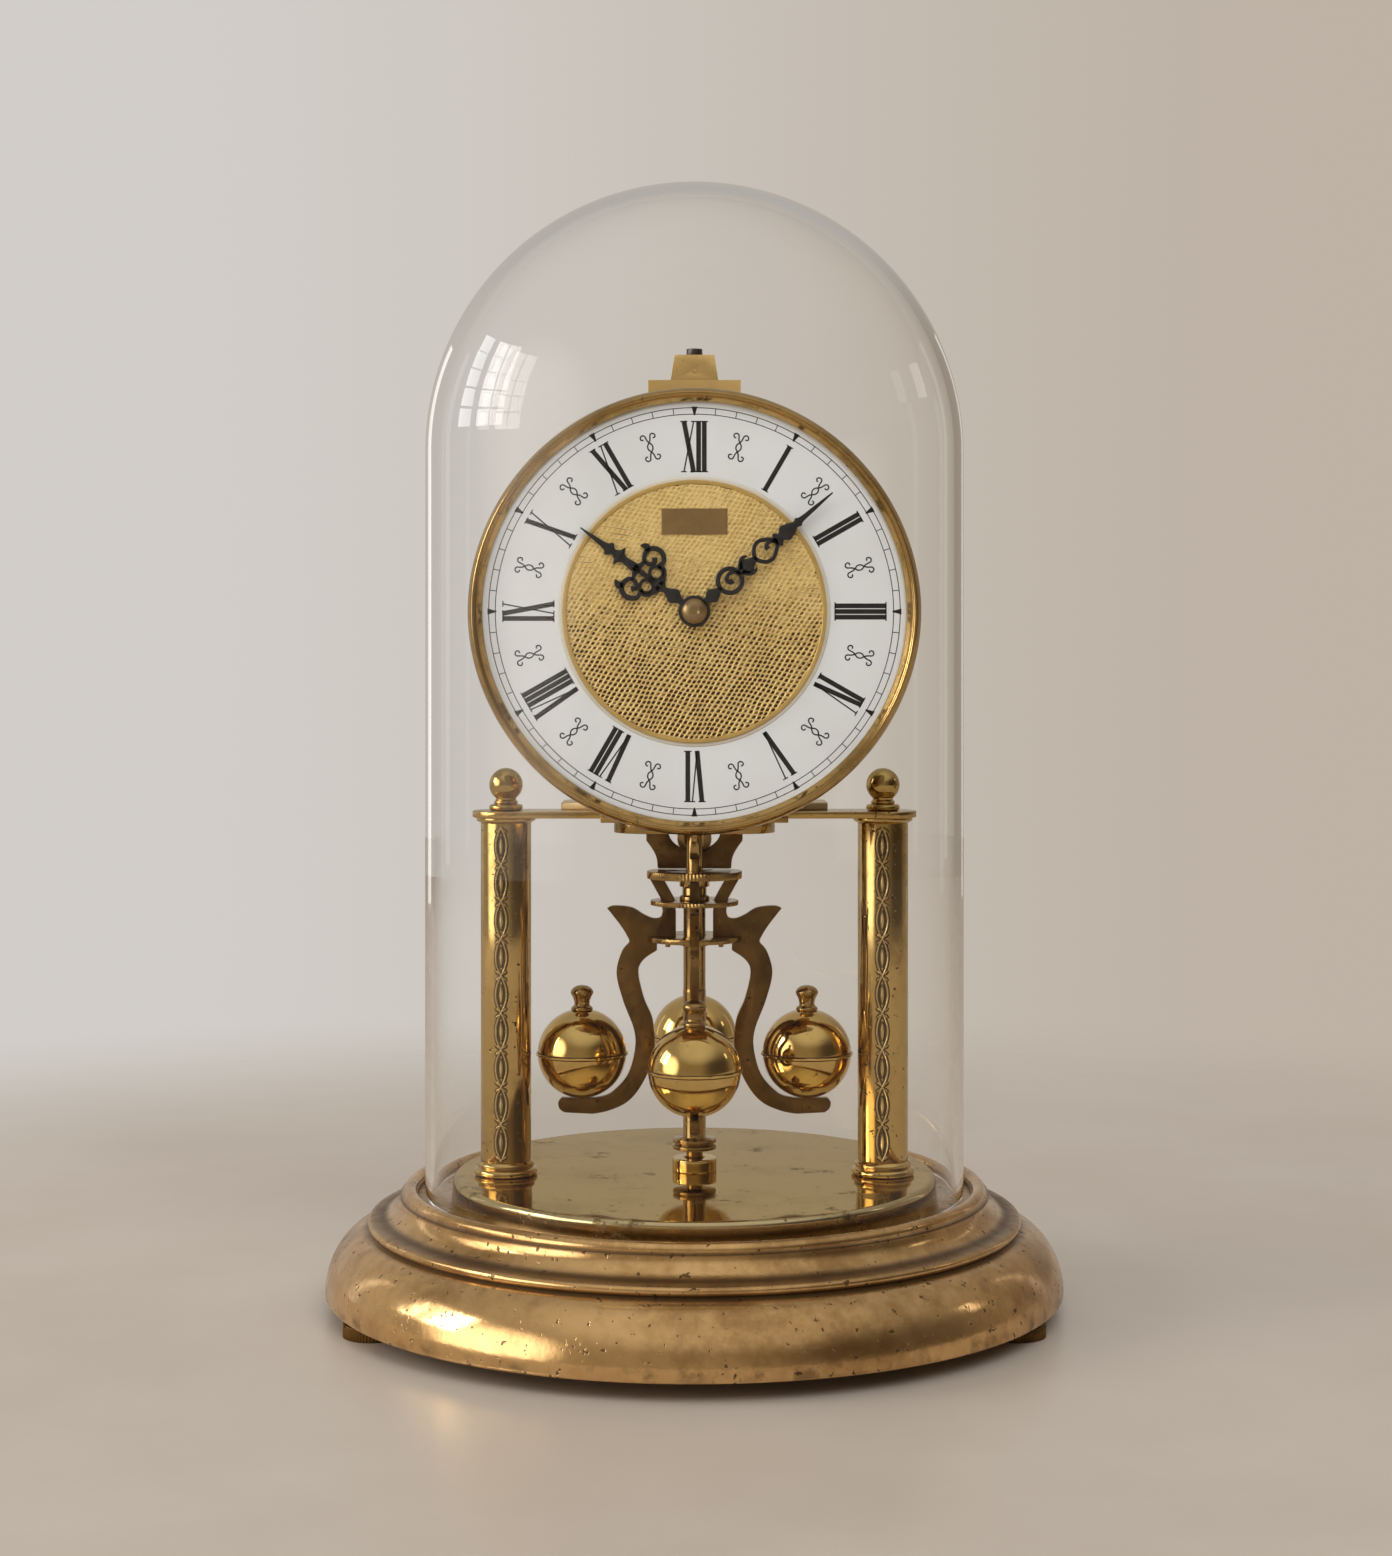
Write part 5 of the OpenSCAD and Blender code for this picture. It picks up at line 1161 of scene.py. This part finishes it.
hand("minute_hand_sawn", "minute_hand", MINUTE_ANGLE, MINUTE_Y, (1.75, 3.9), minute_strokes, minute_rings)
hand("hour_hand_sawn", "hour_hand", HOUR_ANGLE, HOUR_Y, (2.45, 4.2), hour_strokes, hour_rings)
dome_nut = [(0, 0), (3.3, 0), (3.3, 0.5)] + arc((0, 0.5), 3.2, 1.7, 4, 66, 14)
dome_nut += [(1.15, 1.95), (1.0, 2.02), (0.85, 1.9), (0.5, 1.95), (0, 2.0)]
turned_piece("hand_nut_domed", dome_nut, nut_brass, ["hand_nut"], at=(0, NUT_Y, AXIS_Z), steps=48,
             to_front=True)
print("hands point to", MINUTE_ANGLE, "and", HOUR_ANGLE, "degrees")

# %% [markdown]
# Ribbon spring. The pendulum hangs from a ribbon as thin as paper that twists as it turns. Its top belongs
# to the frame and its foot to the pendulum. Here it is one finely cut, straight strip of steel.

# %% Ribbon spring
RIBBON_W, RIBBON_T = 0.9, 0.15
RIBBON_LOW, RIBBON_HIGH = 130.0, 258.5
RIBBON_STEPS = 96
form = bmesh.new()
rows = []
for i in range(RIBBON_STEPS + 1):
    z = RIBBON_LOW + (RIBBON_HIGH - RIBBON_LOW) * i / RIBBON_STEPS
    corners = ((-1, -1), (1, -1), (1, 1), (-1, 1))
    rows.append([form.verts.new(Vector((a * RIBBON_W / 2, b * RIBBON_T / 2, z)) * MM) for a, b in corners])
for low, high in zip(rows, rows[1:]):
    for i in range(4):
        form.faces.new((low[i], low[(i + 1) % 4], high[(i + 1) % 4], high[i]))
form.faces.new(rows[0])
form.faces.new(rows[-1])
ribbon_mesh = to_mesh(form, "ribbon spring", 30)
ribbon_mesh.materials.append(steel)
ribbon = put("ribbon_spring", ribbon_mesh)
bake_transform(ribbon)
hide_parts("suspension_spring")
print("ribbon is", RIBBON_HIGH - RIBBON_LOW, "mm long")

# %% [markdown]
# The rest of the movement. Wheels, pinions, barrel and arbors keep their exact shapes from the
# construction, because their teeth have to mesh. They only get their finishes.

# %% Finishes for the pieces that stay
finish_of_slot = {"polished_brass": plate_brass, "aged_brass": aged_brass, "steel": steel,
                  "blued_steel": blued_steel}
for node, piece in frame["nodes"].items():
    for slot in piece.material_slots:
        slot.material = finish_of_slot.get(slot_of_node[node], plate_brass)
print("nodes with a finish:", len(frame["nodes"]))

# %% [markdown]
# Floor. The clock stands on a plain pale floor that fades into the wall. To the eye it is a little glossy,
# but in mirrors it is matt, because the dome would otherwise show the windows a second time from below and
# veil the pillars behind it.

# %% Floor
FLOOR_R = 2.0
FADE_FROM, FADE_TO = 0.26, 0.62
form = bmesh.new()
bmesh.ops.create_circle(form, cap_ends=True, segments=96, radius=FLOOR_R)
floor = put("floor", to_mesh(form, "floor"))
floor_finish, shader, place = new_finish("pale floor")
stone = noise(place, 9, 6.0, 0.6)
pale = mixed(ramped(stone, 0.3, 0.7), rgb(0.50, 0.435, 0.375), rgb(0.54, 0.48, 0.42))
pale.into(shader, "Base Color")
shader.inputs["Roughness"].default_value = 0.30
shader.inputs["Specular IOR Level"].default_value = 0.25
(1.0 - ramped(distance(place), FADE_FROM, FADE_TO)).into(shader, "Alpha")
in_mirror = place.node("ShaderNodeLightPath", {}, {}, output="Is Reflection Ray")
matt = place.node("ShaderNodeBsdfDiffuse", {}, {"Color": pale})
handed_over(in_mirror, floor_finish, shader, matt)
floor.data.materials.append(floor_finish)
print("floor is", 2 * FLOOR_R, "m wide")

# %% [markdown]
# Room. Polished metal looks like whatever surrounds it, so the room matters more than the lamps. It is
# brown and dim towards the camera, nearly dark at the right, and pale behind the clock. One strong glow
# lies at the front left and a soft one above. The eye itself sees a plain pale wall all round, a little
# darker at the right.

# %% Room
WALL_LEFT, WALL_RIGHT = rgb(0.640, 0.610, 0.575), rgb(0.510, 0.445, 0.375)
ROOM_DIM, ROOM_DARK = rgb(0.33, 0.28, 0.215), rgb(0.075, 0.058, 0.042)
ROOM_PALE, ROOM_SHADE = rgb(0.52, 0.485, 0.44), rgb(0.30, 0.25, 0.20)
CEILING = rgb(0.44, 0.42, 0.39)
# A glow's direction, the angles at which it starts and is full, and its colour.
GLOWS = (
    ((-0.88, -0.42, 0.20), 27, 8, (3.4, 3.25, 3.0)),
    ((0.05, -0.40, 0.91), 50, 12, (0.72, 0.70, 0.66)),
)
world = bpy.data.worlds.new("room")
bpy.context.scene.world = world
world.use_nodes = True
room = world.node_tree.nodes["Background"]
toward = Wire(world.node_tree, world.node_tree.nodes.new("ShaderNodeTexCoord").outputs["Generated"])
across = along_axis(toward, 0)
depth, height = across.beside(1), across.beside(2)
around = mixed(ramped(across, 0.1, 0.8), ROOM_DIM, ROOM_DARK)
behind = mixed(ramped(across, 0.0, 0.7), ROOM_PALE, ROOM_SHADE)
around = mixed(ramped(depth, -0.15, 0.40), around, behind)
around = mixed(ramped(height, 0.30, 0.80), around, CEILING)
for direction, wide, narrow, glow in GLOWS:
    aim = Vector(direction).normalized()
    facing = toward.node("ShaderNodeVectorMath", {"operation": "DOT_PRODUCT"}, {0: toward, 1: aim}, output=1)
    share = ramped(facing, math.cos(math.radians(wide)), math.cos(math.radians(narrow)))
    around = mixed(share, around, rgb(*glow))
seen = toward.node("ShaderNodeLightPath", {}, {}, output="Is Camera Ray")
straight_on = seen.maths("MAXIMUM", seen, seen.beside("Is Transmission Ray"))
wall = mixed(ramped(across, -0.22, 0.25), WALL_LEFT, WALL_RIGHT)
mixed(straight_on, around, wall).into(room, "Color")
print("room has", len(GLOWS), "glows")

# %% [markdown]
# Lamps. Two tall windows of small panes stand at the left. They make the bright patches on the dome and the
# long lights on the brass. Two strips and one pane behind the clock draw thin lines on the glass, and a
# wide wash from the front lights the dial without showing in the metal.

# %% Lamps
TARGET = Vector((0.0, 0.0, 0.16))


def lamp(name, place, size, glow, colour=(1.0, 1.0, 1.0)):
    """An area lamp whose glow is how bright it looks, so its power follows from its size."""
    light = bpy.data.lights.new(name, "AREA")
    light.shape = "RECTANGLE"
    light.size, light.size_y = size
    light.energy = glow * math.pi * size[0] * size[1]
    light.color = colour
    shade = put(name, light)
    shade.location = place
    shade.rotation_euler = (TARGET - Vector(place)).to_track_quat("-Z", "Y").to_euler()
    return shade


WINDOW_AWAY = 1.57
PANES, PANE_LOW, PANE_STEP, PANE_H = 5, 0.50, 0.145, 0.124
# A window's angle, its columns of panes, their width, glow and colour.
WINDOWS = (
    (83, (-0.10, 0.10), 0.178, 9.5, (1.0, 0.985, 0.96)),
    (97, (0.0,), 0.20, 5.0, (0.95, 0.975, 1.0)),
)
for angle, columns, width, glow, colour in WINDOWS:
    sine, cosine = math.sin(math.radians(angle)), math.cos(math.radians(angle))
    along = Vector((cosine, -sine, 0.0))
    for column in columns:
        for row in range(PANES):
            pane = Vector((-WINDOW_AWAY * sine, -WINDOW_AWAY * cosine, PANE_LOW + PANE_STEP * row))
            lamp("window pane", pane + along * column, (width, PANE_H), glow, colour)
lamp("left strip", (-1.35, 0.95, 0.25), (0.13, 1.3), 0.7)
lamp("right strip", (1.3, 1.1, 0.35), (0.10, 1.2), 0.6)
lamp("right pane", (1.5, 0.22, 0.75), (0.16, 0.24), 1.6, (1.0, 0.97, 0.93))
wash = lamp("front wash", (0.35, -1.5, 1.6), (1.6, 1.2), 3.2)
wash.visible_glossy = False
print("lamps:", len(bpy.data.lights))

# %% [markdown]
# Camera. It looks level at the clock from the front, so that uprights stay upright. It stands a little above
# the clock's middle, and a shift of the lens brings the clock to the middle of the picture without a tilt.

# %% Camera
camera_data = bpy.data.cameras.new("camera")
camera_data.sensor_width = 36.0
camera_data.sensor_fit = "AUTO"
camera_data.lens = 58.81
camera_data.shift_x = 0.001
camera_data.shift_y = -0.0694
camera = put("camera", camera_data)
camera.location = (0.0, -0.712, 0.1765)
camera.rotation_euler = (math.radians(90), 0.0, 0.0)
bpy.context.scene.camera = camera
bpy.context.scene.view_settings.view_transform = "Standard"
print("camera is", round(camera.location.length, 3), "m away")
